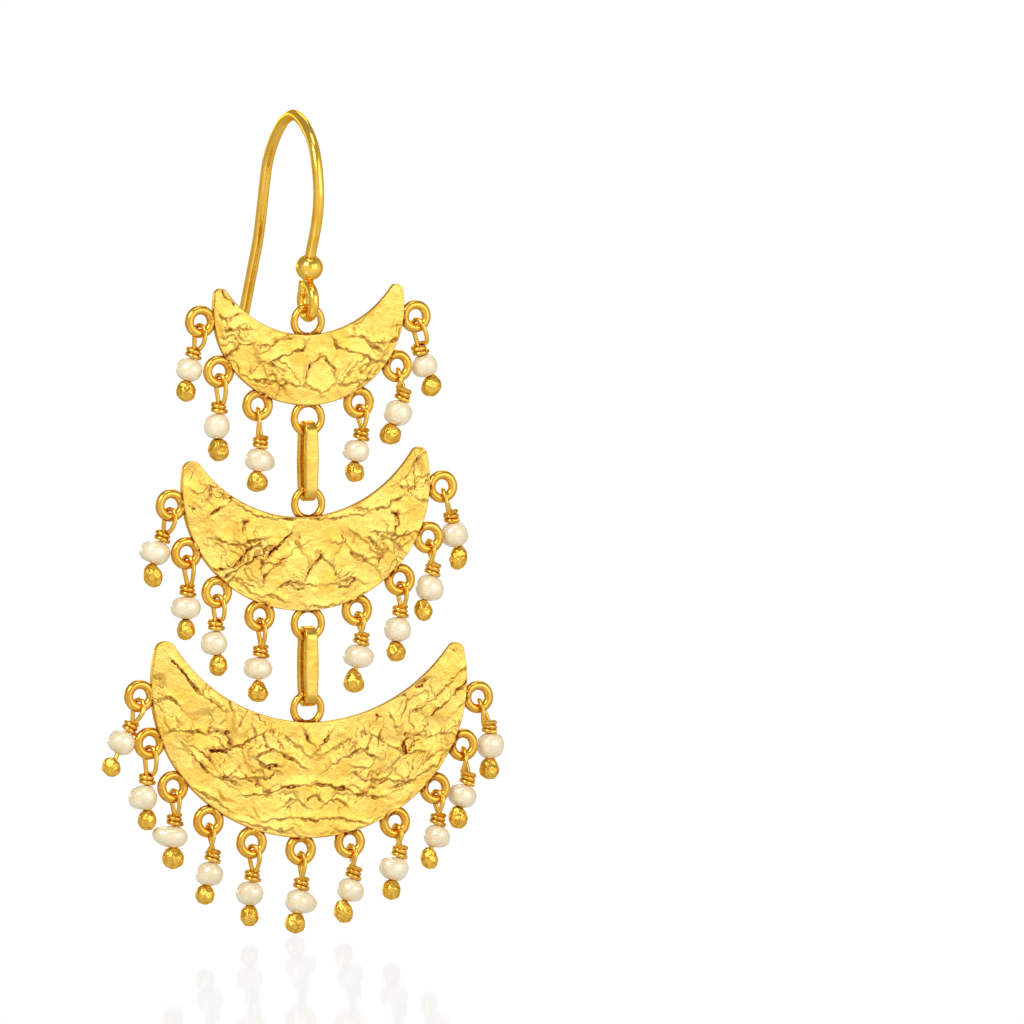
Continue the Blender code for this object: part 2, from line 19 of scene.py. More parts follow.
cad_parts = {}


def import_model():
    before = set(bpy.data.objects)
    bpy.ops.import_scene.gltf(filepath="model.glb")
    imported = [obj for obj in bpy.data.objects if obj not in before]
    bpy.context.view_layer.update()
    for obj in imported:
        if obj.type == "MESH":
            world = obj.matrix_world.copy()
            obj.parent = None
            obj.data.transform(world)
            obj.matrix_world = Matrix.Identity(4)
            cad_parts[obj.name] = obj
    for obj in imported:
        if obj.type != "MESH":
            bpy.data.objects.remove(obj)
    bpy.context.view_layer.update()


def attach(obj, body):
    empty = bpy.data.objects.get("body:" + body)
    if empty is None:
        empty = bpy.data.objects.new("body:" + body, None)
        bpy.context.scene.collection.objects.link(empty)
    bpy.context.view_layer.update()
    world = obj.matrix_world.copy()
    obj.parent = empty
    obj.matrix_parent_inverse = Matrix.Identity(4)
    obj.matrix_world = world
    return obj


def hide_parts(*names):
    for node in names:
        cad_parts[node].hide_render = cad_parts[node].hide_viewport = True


log = logging.getLogger("earring")

Colour = Tuple[float, float, float]
Pair = Tuple[float, float]

MM = 0.001
FRONT = Vector((0.0, -1.0, 0.0))
# Name of the mask of painted shade and tarnish that the gold pieces carry.
SHADE_AND_TARNISH = "shade_and_tarnish_mask"
SAME_PLACE = 1e-7


class Body(Enum):
    """Bodies of the earring that a piece can ride on."""

    HOOK = "hook"
    SMALL = "small_tier"
    UPPER_LINK = "upper_link"
    MEDIUM = "medium_tier"
    LOWER_LINK = "lower_link"
    LARGE = "large_tier"


class Slot(Enum):
    """Material slots of the earring."""

    BRIGHT = "bright_gold"
    TEXTURED = "textured_gold"
    DEEP = "deep_gold"
    PEARL = "pearl"


# Trees of nodes


class Wiring:
    """Adds the nodes of one tree and joins them."""

    def __init__(self, tree: bpy.types.NodeTree) -> None:
        """Args:
            tree: the tree to work in.
        """
        self.tree = tree

    def fill(self, node: bpy.types.Node, inputs: dict) -> bpy.types.Node:
        """Joins or sets a node's inputs.

        Args:
            node: the node.
            inputs: socket names or numbers, each with a value or another node's output.

        Returns:
            The same node.
        """
        for name, value in inputs.items():
            if isinstance(value, bpy.types.NodeSocket):
                self.tree.links.new(value, node.inputs[name])
            else:
                node.inputs[name].default_value = value
        return node

    def add(self, kind: str, inputs: Optional[dict] = None, **settings: object) -> bpy.types.Node:
        """A node with its settings, and its inputs joined or set.

        Args:
            kind: the node's type name.
            inputs: its inputs, as in fill.
            settings: the node's own properties.

        Returns:
            The new node.
        """
        node = self.tree.nodes.new(kind)
        for name, value in settings.items():
            setattr(node, name, value)
        return self.fill(node, inputs or {})

    def group(self, tree: bpy.types.NodeTree, inputs: dict) -> bpy.types.NodeSocket:
        """The output of a shared group placed with its own values.

        Args:
            tree: the group.
            inputs: its inputs, as in fill.

        Returns:
            The group's output.
        """
        return self.add("ShaderNodeGroup", inputs, node_tree=tree).outputs[0]

    def sum(self, operation: str, first: object, second: object = 0.0,
            clamp: bool = False) -> bpy.types.NodeSocket:
        """The output of one sum on two values or sockets.

        Args:
            operation: the sum's name.
            first: its first value or socket.
            second: its second one.
            clamp: whether the result stays from 0 to 1.

        Returns:
            The sum's output.
        """
        return self.add("ShaderNodeMath", {0: first, 1: second}, operation=operation,
                        use_clamp=clamp).outputs[0]

    def vector(self, operation: str, first: object, second: object) -> bpy.types.NodeSocket:
        """The output of one sum on vectors.

        Args:
            operation: the sum's name.
            first: its first vector or socket.
            second: its second one, or the factor of SCALE.

        Returns:
            The sum's output.
        """
        other = "Scale" if operation == "SCALE" else 1
        return self.add("ShaderNodeVectorMath", {0: first, other: second}, operation=operation).outputs[0]

    def spread(self, value: object, low: float, high: float,
               out_low: object = 0.0, out_high: object = 1.0) -> bpy.types.NodeSocket:
        """A value brought smoothly from one range to another.

        Args:
            value: the socket to bring over.
            low: start of the range it comes from.
            high: end of that range.
            out_low: start of the range it goes to, as a value or socket.
            out_high: end of that range.

        Returns:
            The new value's output.
        """
        return self.add("ShaderNodeMapRange", {"Value": value, "From Min": low, "From Max": high,
                                               "To Min": out_low, "To Max": out_high},
                        interpolation_type="SMOOTHSTEP").outputs["Result"]

    def blend(self, factor: object, first: object, second: object) -> bpy.types.NodeSocket:
        """Two colours mixed by a factor.

        Args:
            factor: share of the second colour.
            first: first colour or socket.
            second: second colour or socket.

        Returns:
            The mixed colour's output.
        """
        return self.add("ShaderNodeMix", {0: factor, 6: first, 7: second}, data_type="RGBA").outputs[2]

    def seen_or(self, seen: float, unseen: object) -> bpy.types.NodeSocket:
        """One brightness for what the eye sees and another for light and mirrors.

        Args:
            seen: the brightness seen directly.
            unseen: the other one, as a value or socket.

        Returns:
            The brightness' output.
        """
        direct = self.add("ShaderNodeLightPath").outputs["Is Camera Ray"]
        return self.add("ShaderNodeMix", {0: direct, 2: unseen, 3: seen}, data_type="FLOAT").outputs[0]


def tree_of(name: str, kind: str, inputs: Dict[str, object],
            outputs: Dict[str, str]) -> bpy.types.NodeTree:
    """A new node group with named sockets.

    Args:
        name: the group's name.
        kind: its tree type.
        inputs: each input's default number, or its socket type where it has none.
        outputs: each output's socket type.

    Returns:
        The empty group.
    """
    tree = bpy.data.node_groups.new(name, kind)
    types = {float: "Float", int: "Int"}
    for label, value in inputs.items():
        socket = "NodeSocket" + types.get(type(value), value)
        made = tree.interface.new_socket(name=label, in_out="INPUT", socket_type=socket)
        if not isinstance(value, str):
            made.default_value = value
    for label, socket in outputs.items():
        tree.interface.new_socket(name=label, in_out="OUTPUT", socket_type="NodeSocket" + socket)
    return tree


class Effects:
    """Shader groups that more than one finish uses."""

    def __init__(self) -> None:
        """Builds each group once."""
        self.mottle = self._mottle()
        self.grain = self._grain()
        self.shade_and_tarnish = self._shade_and_tarnish()
        self.polish = self._polish()

    @staticmethod
    def _open(name: str, inputs: Dict[str, object], output: str,
              kind: str = "Float") -> Tuple[Wiring, Dict[str, bpy.types.NodeSocket]]:
        """A new group's wiring, and the outputs that give its inputs."""
        wiring = Wiring(tree_of(name, "ShaderNodeTree", inputs, {output: kind}))
        return wiring, wiring.add("NodeGroupInput").outputs

    @staticmethod
    def _close(wiring: Wiring, result: bpy.types.NodeSocket) -> bpy.types.NodeTree:
        """The finished group, which gives out the result."""
        wiring.add("NodeGroupOutput", {0: result})
        return wiring.tree

    @staticmethod
    def _noise(wiring: Wiring, scale: object, detail: float, roughness: float = 0.5,
               stir: float = 0.0) -> bpy.types.NodeSocket:
        """Noise on the piece's own coordinates.

        Args:
            wiring: the tree to build in.
            scale: lumps per metre.
            detail: how many finer layers it has.
            roughness: how strong those are.
            stir: how far it is distorted.

        Returns:
            The noise's value.
        """
        place = wiring.add("ShaderNodeTexCoord").outputs["Object"]
        return wiring.add("ShaderNodeTexNoise", {"Vector": place, "Scale": scale, "Detail": detail,
                                                 "Roughness": roughness,
                                                 "Distortion": stir}).outputs["Fac"]

    def _mottle(self) -> bpy.types.NodeTree:
        """Two colours that drift into each other."""
        wiring, given = self._open("colour_mottle", {"Scale": 600.0, "Bright": "Color", "Deep": "Color",
                                                     "Amount": 1.0}, "Colour", "Color")
        value = self._noise(wiring, given["Scale"], detail=4.0, roughness=0.6, stir=0.4)
        drift = wiring.spread(value, low=0.38, high=0.68)
        factor = wiring.sum("MULTIPLY", drift, given["Amount"])
        return self._close(wiring, wiring.blend(factor, given["Bright"], given["Deep"]))

    def _grain(self) -> bpy.types.NodeTree:
        """Fine tooth of the metal over low dimples."""
        wiring, given = self._open("surface_grain", {"Fine": 9000.0, "Dimples": 1500.0, "Tooth": 0.4},
                                   "Height")
        fine = self._noise(wiring, given["Fine"], detail=3.0, roughness=0.6)
        dimples = self._noise(wiring, given["Dimples"], detail=2.0, stir=0.6)
        tooth = wiring.sum("MULTIPLY", fine, given["Tooth"])
        return self._close(wiring, wiring.sum("ADD", tooth, dimples))

    def _shade_and_tarnish(self) -> bpy.types.NodeTree:
        """A mask of painted shade and tarnish, broken up into patches, and small flecks."""
        wiring, given = self._open("broken_shade_and_tarnish", {"Mask": 0.0, "Scale": 2500.0, "Specks": 0.0,
                                                      "Speck Scale": 4200.0}, "Factor")
        value = self._noise(wiring, given["Scale"], detail=3.0, roughness=0.65)
        broken = wiring.spread(value, low=0.36, high=0.60, out_low=0.12, out_high=1.45)
        patchy = wiring.sum("MULTIPLY", given["Mask"], broken, clamp=True)
        value = self._noise(wiring, given["Speck Scale"], detail=3.0, roughness=0.7)
        flecks = wiring.sum("MULTIPLY", wiring.spread(value, low=0.60, high=0.74), given["Specks"])
        return self._close(wiring, wiring.sum("MAXIMUM", patchy, flecks))

    def _polish(self) -> bpy.types.NodeTree:
        """Roughness that wanders about a middle value."""
        wiring, given = self._open("polish_wear", {"Middle": 0.3, "Wander": 0.1, "Scale": 900.0},
                                   "Roughness")
        value = self._noise(wiring, given["Scale"], detail=5.0, roughness=0.6)
        wander = wiring.sum("MULTIPLY", wiring.sum("SUBTRACT", value, 0.5), given["Wander"])
        return self._close(wiring, wiring.sum("ADD", given["Middle"], wander, clamp=True))


# Finishes


@dataclass(frozen=True)
class Finish:
    """What every finish of the earring has.

    Colours are linear, scales are lumps per metre, and lengths are metres.
    """

    name: str
    slot: Slot
    bright: Colour
    deep: Colour
    roughness: float = 0.24
    wander: float = 0.16
    relief: float = 0.000012
    mottle_scale: float = 420.0
    mottle_amount: float = 1.0
    fine: float = 9000.0
    dimples: float = 1300.0
    tooth: float = 0.30

    def shade(self, wiring: Wiring, effects: Effects, colour: bpy.types.NodeSocket,
              rough: bpy.types.NodeSocket) -> dict:
        """The shader's inputs that are this finish's own.

        Args:
            wiring: the material's tree.
            effects: the shared shader groups.
            colour: the mottled colour.
            rough: the worn polish.

        Returns:
            The inputs by name.
        """
        raise NotImplementedError

    def material(self, effects: Effects) -> bpy.types.Material:
        """The finish as a material.

        Args:
            effects: the shared shader groups.

        Returns:
            The new material.
        """
        material = bpy.data.materials.new(self.name)
        material.use_nodes = True
        wiring = Wiring(material.node_tree)
        colour = wiring.group(effects.mottle, {"Scale": self.mottle_scale, "Amount": self.mottle_amount,
                                               "Bright": (*self.bright, 1.0), "Deep": (*self.deep, 1.0)})
        rough = wiring.group(effects.polish, {"Middle": self.roughness, "Wander": self.wander})
        grain = wiring.group(effects.grain, {"Fine": self.fine, "Dimples": self.dimples,
                                             "Tooth": self.tooth})
        bump = wiring.add("ShaderNodeBump", {"Height": grain, "Strength": 1.0, "Distance": self.relief})
        wiring.fill(material.node_tree.nodes["Principled BSDF"],
                    {"Normal": bump.outputs["Normal"], **self.shade(wiring, effects, colour, rough)})
        return material


@dataclass(frozen=True)
class GoldFinish(Finish):
    """Gold plate with its wear, and its painted shade and tarnish where the piece's mask says so."""

    # Dark red-brown of the painted shade and tarnish.
    shade_and_tarnish: Colour = (0.18, 0.020, 0.0005)
    dulling: float = 0.30
    specks: float = 0.0
    edge: Colour = (1.0, 0.72, 0.32)

    def shade(self, wiring: Wiring, effects: Effects, colour: bpy.types.NodeSocket,
              rough: bpy.types.NodeSocket) -> dict:
        """Metal, darker and duller under painted shade and tarnish.  See Finish."""
        # Painted shade and tarnish: the mask darkens the colour in the plates' creases and where rings
        # meet the plates.
        mask = wiring.add("ShaderNodeAttribute", attribute_name=SHADE_AND_TARNISH).outputs["Fac"]
        shade_and_tarnish = wiring.group(effects.shade_and_tarnish, {"Mask": mask, "Specks": self.specks})
        dulled = wiring.sum("MULTIPLY", shade_and_tarnish, self.dulling)
        return {"Base Color": wiring.blend(shade_and_tarnish, colour, (*self.shade_and_tarnish, 1.0)),
                "Roughness": wiring.sum("ADD", rough, dulled, clamp=True),
                "Metallic": 1.0, "Specular Tint": (*self.edge, 1.0)}


@dataclass(frozen=True)
class PearlFinish(Finish):
    """Nacre of a freshwater pearl: drifting cream under a soft gloss."""

    under: float = 0.25
    under_reach: float = 0.0004
    under_colour: Colour = (1.0, 0.7, 0.5)
    gloss_index: float = 2.3
    gloss_tint: Colour = (1.0, 0.93, 0.80)
    gloss_roughness: float = 0.24

    def shade(self, wiring: Wiring, effects: Effects, colour: bpy.types.NodeSocket,
              rough: bpy.types.NodeSocket) -> dict:
        """Light that sinks in, under a tinted coat.  See Finish."""
        return {"Base Color": colour, "Roughness": rough, "Subsurface Weight": self.under,
                "Subsurface Radius": self.under_colour, "Subsurface Scale": self.under_reach,
                "Coat Weight": 1.0, "Coat IOR": self.gloss_index,
                "Coat Tint": (*self.gloss_tint, 1.0), "Coat Roughness": self.gloss_roughness}


FINISHES = {
    "polished": GoldFinish("gold_polished", Slot.BRIGHT, (0.98, 0.63, 0.11), (0.94, 0.52, 0.06),
                           0.17, 0.10, 0.000006),
    "strap": GoldFinish("gold_straps", Slot.BRIGHT, (0.80, 0.51, 0.10), (0.70, 0.39, 0.05),
                        0.24, 0.16, 0.000045, dimples=700.0),
    "ring": GoldFinish("gold_rings", Slot.BRIGHT, (0.83, 0.48, 0.075), (0.75, 0.38, 0.045),
                       0.22, 0.14, 0.000009),
    "plate": GoldFinish("gold_crumpled", Slot.TEXTURED, (0.835, 0.55, 0.125), (0.77, 0.445, 0.072),
                        0.27, 0.18, 0.000034, fine=7500.0, tooth=0.70, specks=0.45),
    "wire": GoldFinish("gold_wire", Slot.DEEP, (0.87, 0.54, 0.10), (0.78, 0.43, 0.055),
                       0.20, 0.12, 0.000006),
    "nugget": GoldFinish("gold_nugget", Slot.DEEP, (0.96, 0.60, 0.095), (0.62, 0.29, 0.02),
                         0.14, 0.20, 0.000055, mottle_scale=2600.0, mottle_amount=0.8, dimples=3600.0),
    "pearl": PearlFinish("pearl_nacre", Slot.PEARL, (0.89, 0.82, 0.63), (0.79, 0.67, 0.42),
                         0.28, 0.14, 0.000004, mottle_scale=700.0, mottle_amount=0.6, fine=4000.0,
                         dimples=1100.0, tooth=0.10),
}


class Wardrobe:
    """Every finish of the earring, made once."""

    def __init__(self) -> None:
        """Makes the materials and notes their slots."""
        effects = Effects()
        self.materials = {name: finish.material(effects) for name, finish in FINISHES.items()}
        self.slots = {name: finish.slot for name, finish in FINISHES.items()}

    def dress(self, piece: bpy.types.Object, finish: str, body: Body, nodes: Sequence[str]) -> None:
        """Gives a piece its finish, its body and the solids it stands for.

        Args:
            piece: the finished mesh object.
            finish: the finish's name.
            body: the body it rides on.
            nodes: the solids it stands for.
        """
        piece.data.materials.clear()
        piece.data.materials.append(self.materials[finish])
        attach(piece, body.value)
        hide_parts(*nodes)
        log.info("%s: %d faces on %s", piece.name, len(piece.data.polygons), body.value)


# Meshes


def linked(name: str, data: bpy.types.ID) -> bpy.types.Object:
    """An object in the scene that shows some data.

    Args:
        name: its name.
        data: its mesh, light or camera.

    Returns:
        The new object.
    """
    made = bpy.data.objects.new(name, data)
    bpy.context.scene.collection.objects.link(made)
    return made


def mesh_piece(name: str, points: Sequence, faces: Sequence, smooth: bool = True) -> bpy.types.Object:
    """An object at the origin whose mesh holds its place.

    Args:
        name: its name.
        points: its vertices.
        faces: its faces as lists of vertex numbers.
        smooth: whether it is shaded smooth.

    Returns:
        The new object.
    """
    mesh = bpy.data.meshes.new(name)
    mesh.from_pydata([tuple(p) for p in points], [], faces)
    mesh.validate()
    if smooth:
        mesh.shade_smooth()
    return linked(name, mesh)


def faces_out(piece: bpy.types.Object) -> None:
    """Turns every face of a closed mesh outwards.

    Args:
        piece: the object.
    """
    bm = bmesh.new()
    bm.from_mesh(piece.data)
    bmesh.ops.remove_doubles(bm, verts=bm.verts[:], dist=SAME_PLACE)
    bmesh.ops.recalc_face_normals(bm, faces=bm.faces[:])
    bm.to_mesh(piece.data)
    bm.free()
    piece.data.shade_smooth()


def band(rings: Sequence[Sequence], closed: bool) -> Tuple[list, list]:
    """Points and quads of rings laid one after another.

    Args:
        rings: as many points in each.
        closed: whether the last ring joins the first.

    Returns:
        The points and the faces.
    """
    count = len(rings[0])
    points = [p for ring in rings for p in ring]
    faces = []
    for i in range(len(rings) if closed else len(rings) - 1):
        here, there = i * count, (i + 1) % len(rings) * count
        for j in range(count):
            k = (j + 1) % count
            faces.append((here + j, here + k, there + k, there + j))
    return points, faces


def through(points: Sequence[Vector], steps: Sequence[int]) -> List[Vector]:
    """Points of a smooth curve through the given ones.

    Args:
        points: what the curve runs through.
        steps: how many points each span is cut into.

    Returns:
        The curve's points, without the first.
    """
    curve = []
    for i in range(1, len(points)):
        before, after = points[max(i - 2, 0)], points[min(i + 1, len(points) - 1)]
        start, stop = points[i - 1], points[i]
        leaving, arriving = (stop - before) / 2, (after - start) / 2
        for j in range(1, steps[i] + 1):
            t = j / steps[i]
            rest = 1.0 - t
            curve.append(start * (1 + 2 * t) * rest * rest + leaving * t * rest * rest
                         + stop * t * t * (3 - 2 * t) - arriving * t * t * rest)
    return curve


def turn(degrees: float, axis: str) -> Matrix:
    """A turn about an axis.

    Args:
        degrees: how far.
        axis: the axis' letter.

    Returns:
        The matrix.
    """
    return Matrix.Rotation(math.radians(degrees), 3, axis)


class ShapeTree:
    """A geometry tree that is run on a host mesh and leaves a plain mesh."""

    NAME = ""
    INPUTS: Dict[str, object] = {}

    def __init__(self) -> None:
        """Builds the tree with its named inputs."""
        self.tree = tree_of(self.NAME, "GeometryNodeTree",
                            {"Geometry": "Geometry", **self.INPUTS, "Material": "Material"},
                            {"Geometry": "Geometry"})
        self.wiring = Wiring(self.tree)
        self.given = self.wiring.add("NodeGroupInput").outputs
        self.close(self.shape())

    def shape(self) -> bpy.types.NodeSocket:
        """Adds the tree's own nodes.

        Returns:
            The geometry that they make.
        """
        raise NotImplementedError

    def circle(self, steps: str, radius: str) -> bpy.types.NodeSocket:
        """A circle as round and as large as two of the tree's inputs say."""
        return self.wiring.add("GeometryNodeCurvePrimitiveCircle",
                               {"Resolution": self.given[steps], "Radius": self.given[radius]}).outputs[0]

    def stored(self, name: str, kind: str = "FLOAT") -> bpy.types.NodeSocket:
        """A value that the host's points carry."""
        return self.wiring.add("GeometryNodeInputNamedAttribute", {"Name": name},
                               data_type=kind).outputs[0]

    def stamp(self, instance: bpy.types.NodeSocket, inputs: dict) -> bpy.types.NodeSocket:
        """One real copy of a shape on each host point.

        Args:
            instance: the shape.
            inputs: the copies' own turns and sizes.

        Returns:
            The copies.
        """
        spots = self.wiring.add("GeometryNodeInstanceOnPoints",
                                {"Points": self.given["Geometry"], "Instance": instance, **inputs})
        return self.wiring.add("GeometryNodeRealizeInstances", {"Geometry": spots.outputs[0]}).outputs[0]

    def moved(self, shape: bpy.types.NodeSocket, shift: bpy.types.NodeSocket,
              factor: bpy.types.NodeSocket) -> bpy.types.NodeSocket:
        """A shape with each point moved by its shift times a factor."""
        offset = self.wiring.vector("SCALE", shift, factor)
        return self.wiring.add("GeometryNodeSetPosition",
                               {"Geometry": shape, "Offset": offset}).outputs[0]

    def close(self, shape: bpy.types.NodeSocket) -> None:
        """Ends the tree: instances made real, smooth shading, the material.

        Args:
            shape: the geometry so far.
        """
        add = self.wiring.add
        real = add("GeometryNodeRealizeInstances", {"Geometry": shape})
        smooth = add("GeometryNodeSetShadeSmooth", {"Geometry": real.outputs[0]})
        dressed = add("GeometryNodeSetMaterial", {"Geometry": smooth.outputs[0],
                                                  "Material": self.given["Material"]})
        add("NodeGroupOutput", {"Geometry": dressed.outputs[0]})

    def grow(self, name: str, host: bpy.types.Mesh, material: bpy.types.Material,
             **values: float) -> bpy.types.Object:
        """Runs the tree on a host mesh.

        Args:
            name: the new piece's name.
            host: points or lines that the tree works on.
            material: the piece's material.
            values: the tree's inputs by name, with _ for a space.

        Returns:
            The piece as a plain mesh object.
        """
        obj = linked(name + "_host", host)
        modifier = obj.modifiers.new(self.tree.name, "NODES")
        modifier.node_group = self.tree
        named = {key.replace("_", " "): value for key, value in values.items()}
        named["Material"] = material
        for item in self.tree.interface.items_tree:
            if item.in_out == "INPUT" and item.name in named:
                modifier[item.identifier] = named[item.name]
        graph = bpy.context.evaluated_depsgraph_get()
        mesh = bpy.data.meshes.new_from_object(obj.evaluated_get(graph), depsgraph=graph)
        mesh.name = name
        obj.modifiers.remove(modifier)
        bpy.data.objects.remove(obj)
        return linked(name, mesh)


def host_mesh(points: Sequence[Vector], edges: Sequence[Tuple[int, int]],
              floats: Optional[Dict[str, Sequence[float]]] = None,
              vectors: Optional[Dict[str, Sequence[Vector]]] = None) -> bpy.types.Mesh:
    """A mesh of loose points or lines with values of their own.

    Args:
        points: its vertices.
        edges: its lines.
        floats: one number for each point, by name.
        vectors: one vector for each point, by name.

    Returns:
        The mesh.
    """
    mesh = bpy.data.meshes.new("host")
    mesh.from_pydata([tuple(p) for p in points], edges, [])
    for name, values in (floats or {}).items():
        mesh.attributes.new(name, "FLOAT", "POINT").data.foreach_set("value", list(values))
    for name, values in (vectors or {}).items():
        flat = [c for v in values for c in v]
        mesh.attributes.new(name, "FLOAT_VECTOR", "POINT").data.foreach_set("vector", flat)
    return mesh


class RingTree(ShapeTree):
    """Round rings set in the crescents' plane, one on each host point."""

    NAME = "soldered_rings"
    INPUTS = {"Ring Radius": 0.001, "Wire Radius": 0.0004, "Round Steps": 56, "Wire Steps": 18,
              "Wobble": 0.00002, "Seed": 3}
    LUMPS = {"Scale": 500.0, "Detail": 1.0}

    def shape(self) -> bpy.types.NodeSocket:
        """Rings swept from two circles, stood up, spun and wobbled.  See ShapeTree."""
        add, given = self.wiring.add, self.given
        ring = add("GeometryNodeCurveToMesh", {"Curve": self.circle("Round Steps", "Ring Radius"),
                                               "Profile Curve": self.circle("Wire Steps", "Wire Radius")})
        stood = add("GeometryNodeTransform", {"Geometry": ring.outputs[0],
                                              "Rotation": (math.pi / 2, 0.0, 0.0)})
        spin = add("FunctionNodeRandomValue", {1: (0.0, math.tau, 0.0), "Seed": given["Seed"]},
                   data_type="FLOAT_VECTOR")
        rings = self.stamp(stood.outputs[0], {"Rotation": spin.outputs[0]})
        lump = add("ShaderNodeTexNoise", self.LUMPS).outputs["Color"]
        return self.moved(rings, self.wiring.vector("SUBTRACT", lump, (0.5, 0.5, 0.5)), given["Wobble"])


class WireTree(ShapeTree):
    """Round wire along the host's lines, as thick as their gauge says."""

    NAME = "round_wire"
    INPUTS = {"Wire Radius": 0.0005, "Wire Steps": 16}

    def shape(self) -> bpy.types.NodeSocket:
        """A circle swept along the lines.  See ShapeTree."""
        add = self.wiring.add
        line = add("GeometryNodeMeshToCurve", {"Mesh": self.given["Geometry"]})
        share = self.stored("gauge")
        sized = add("GeometryNodeSetCurveRadius", {"Curve": line.outputs[0], "Radius": share})
        made = add("GeometryNodeCurveToMesh", {"Curve": sized.outputs[0], "Fill Caps": True,
                                               "Profile Curve": self.circle("Wire Steps", "Wire Radius")})
        if "Scale" in made.inputs:
            self.tree.links.new(share, made.inputs["Scale"])
        return made.outputs[0]


class NuggetTree(ShapeTree):
    """Melted nuggets, one on each host point, slimmer at the top and dented as they cooled."""

    NAME = "melted_nuggets"
    INPUTS = {"Detail": 5, "Dents": 0.00017, "Dent Scale": 2100.0, "Seed": 4.0}
    DENT_SOFTNESS = 0.08
    DENT_MIDDLE = 0.45

    def shape(self) -> bpy.types.NodeSocket:
        """Balls drawn in towards the top and dented along their normals.  See ShapeTree."""
        add, given, total, vector = self.wiring.add, self.given, self.wiring.sum, self.wiring.vector
        size = self.stored("size", "FLOAT_VECTOR")
        ball = add("GeometryNodeMeshIcoSphere", {"Radius": 0.5, "Subdivisions": given["Detail"]})
        balls = self.stamp(ball.outputs[0], {"Rotation": self.stored("tilt", "FLOAT_VECTOR"),
                                             "Scale": size})
        place = add("GeometryNodeInputPosition").outputs[0]
        local = vector("SUBTRACT", place, self.stored("middle", "FLOAT_VECTOR"))
        parts = add("ShaderNodeSeparateXYZ", {0: local}).outputs
        height = add("ShaderNodeSeparateXYZ", {0: size}).outputs["Z"]
        share = total("DIVIDE", parts["Z"], total("MULTIPLY", height, 0.5))
        slimmer = total("MULTIPLY", total("MULTIPLY", share, self.stored("pear")), -1.0)
        aside = add("ShaderNodeCombineXYZ", {0: parts["X"], 1: parts["Y"]}).outputs[0]
        pears = self.moved(balls, aside, slimmer)
        cells = add("ShaderNodeTexVoronoi",
                    {"Scale": given["Dent Scale"], "W": given["Seed"]},
                    voronoi_dimensions="4D", feature="SMOOTH_F1")
        cells.inputs["Smoothness"].default_value = self.DENT_SOFTNESS
        depth = total("SUBTRACT", cells.outputs["Distance"], self.DENT_MIDDLE)
        out = add("GeometryNodeInputNormal").outputs[0]
        return self.moved(pears, out, total("MULTIPLY", depth, given["Dents"]))


# Ear hook


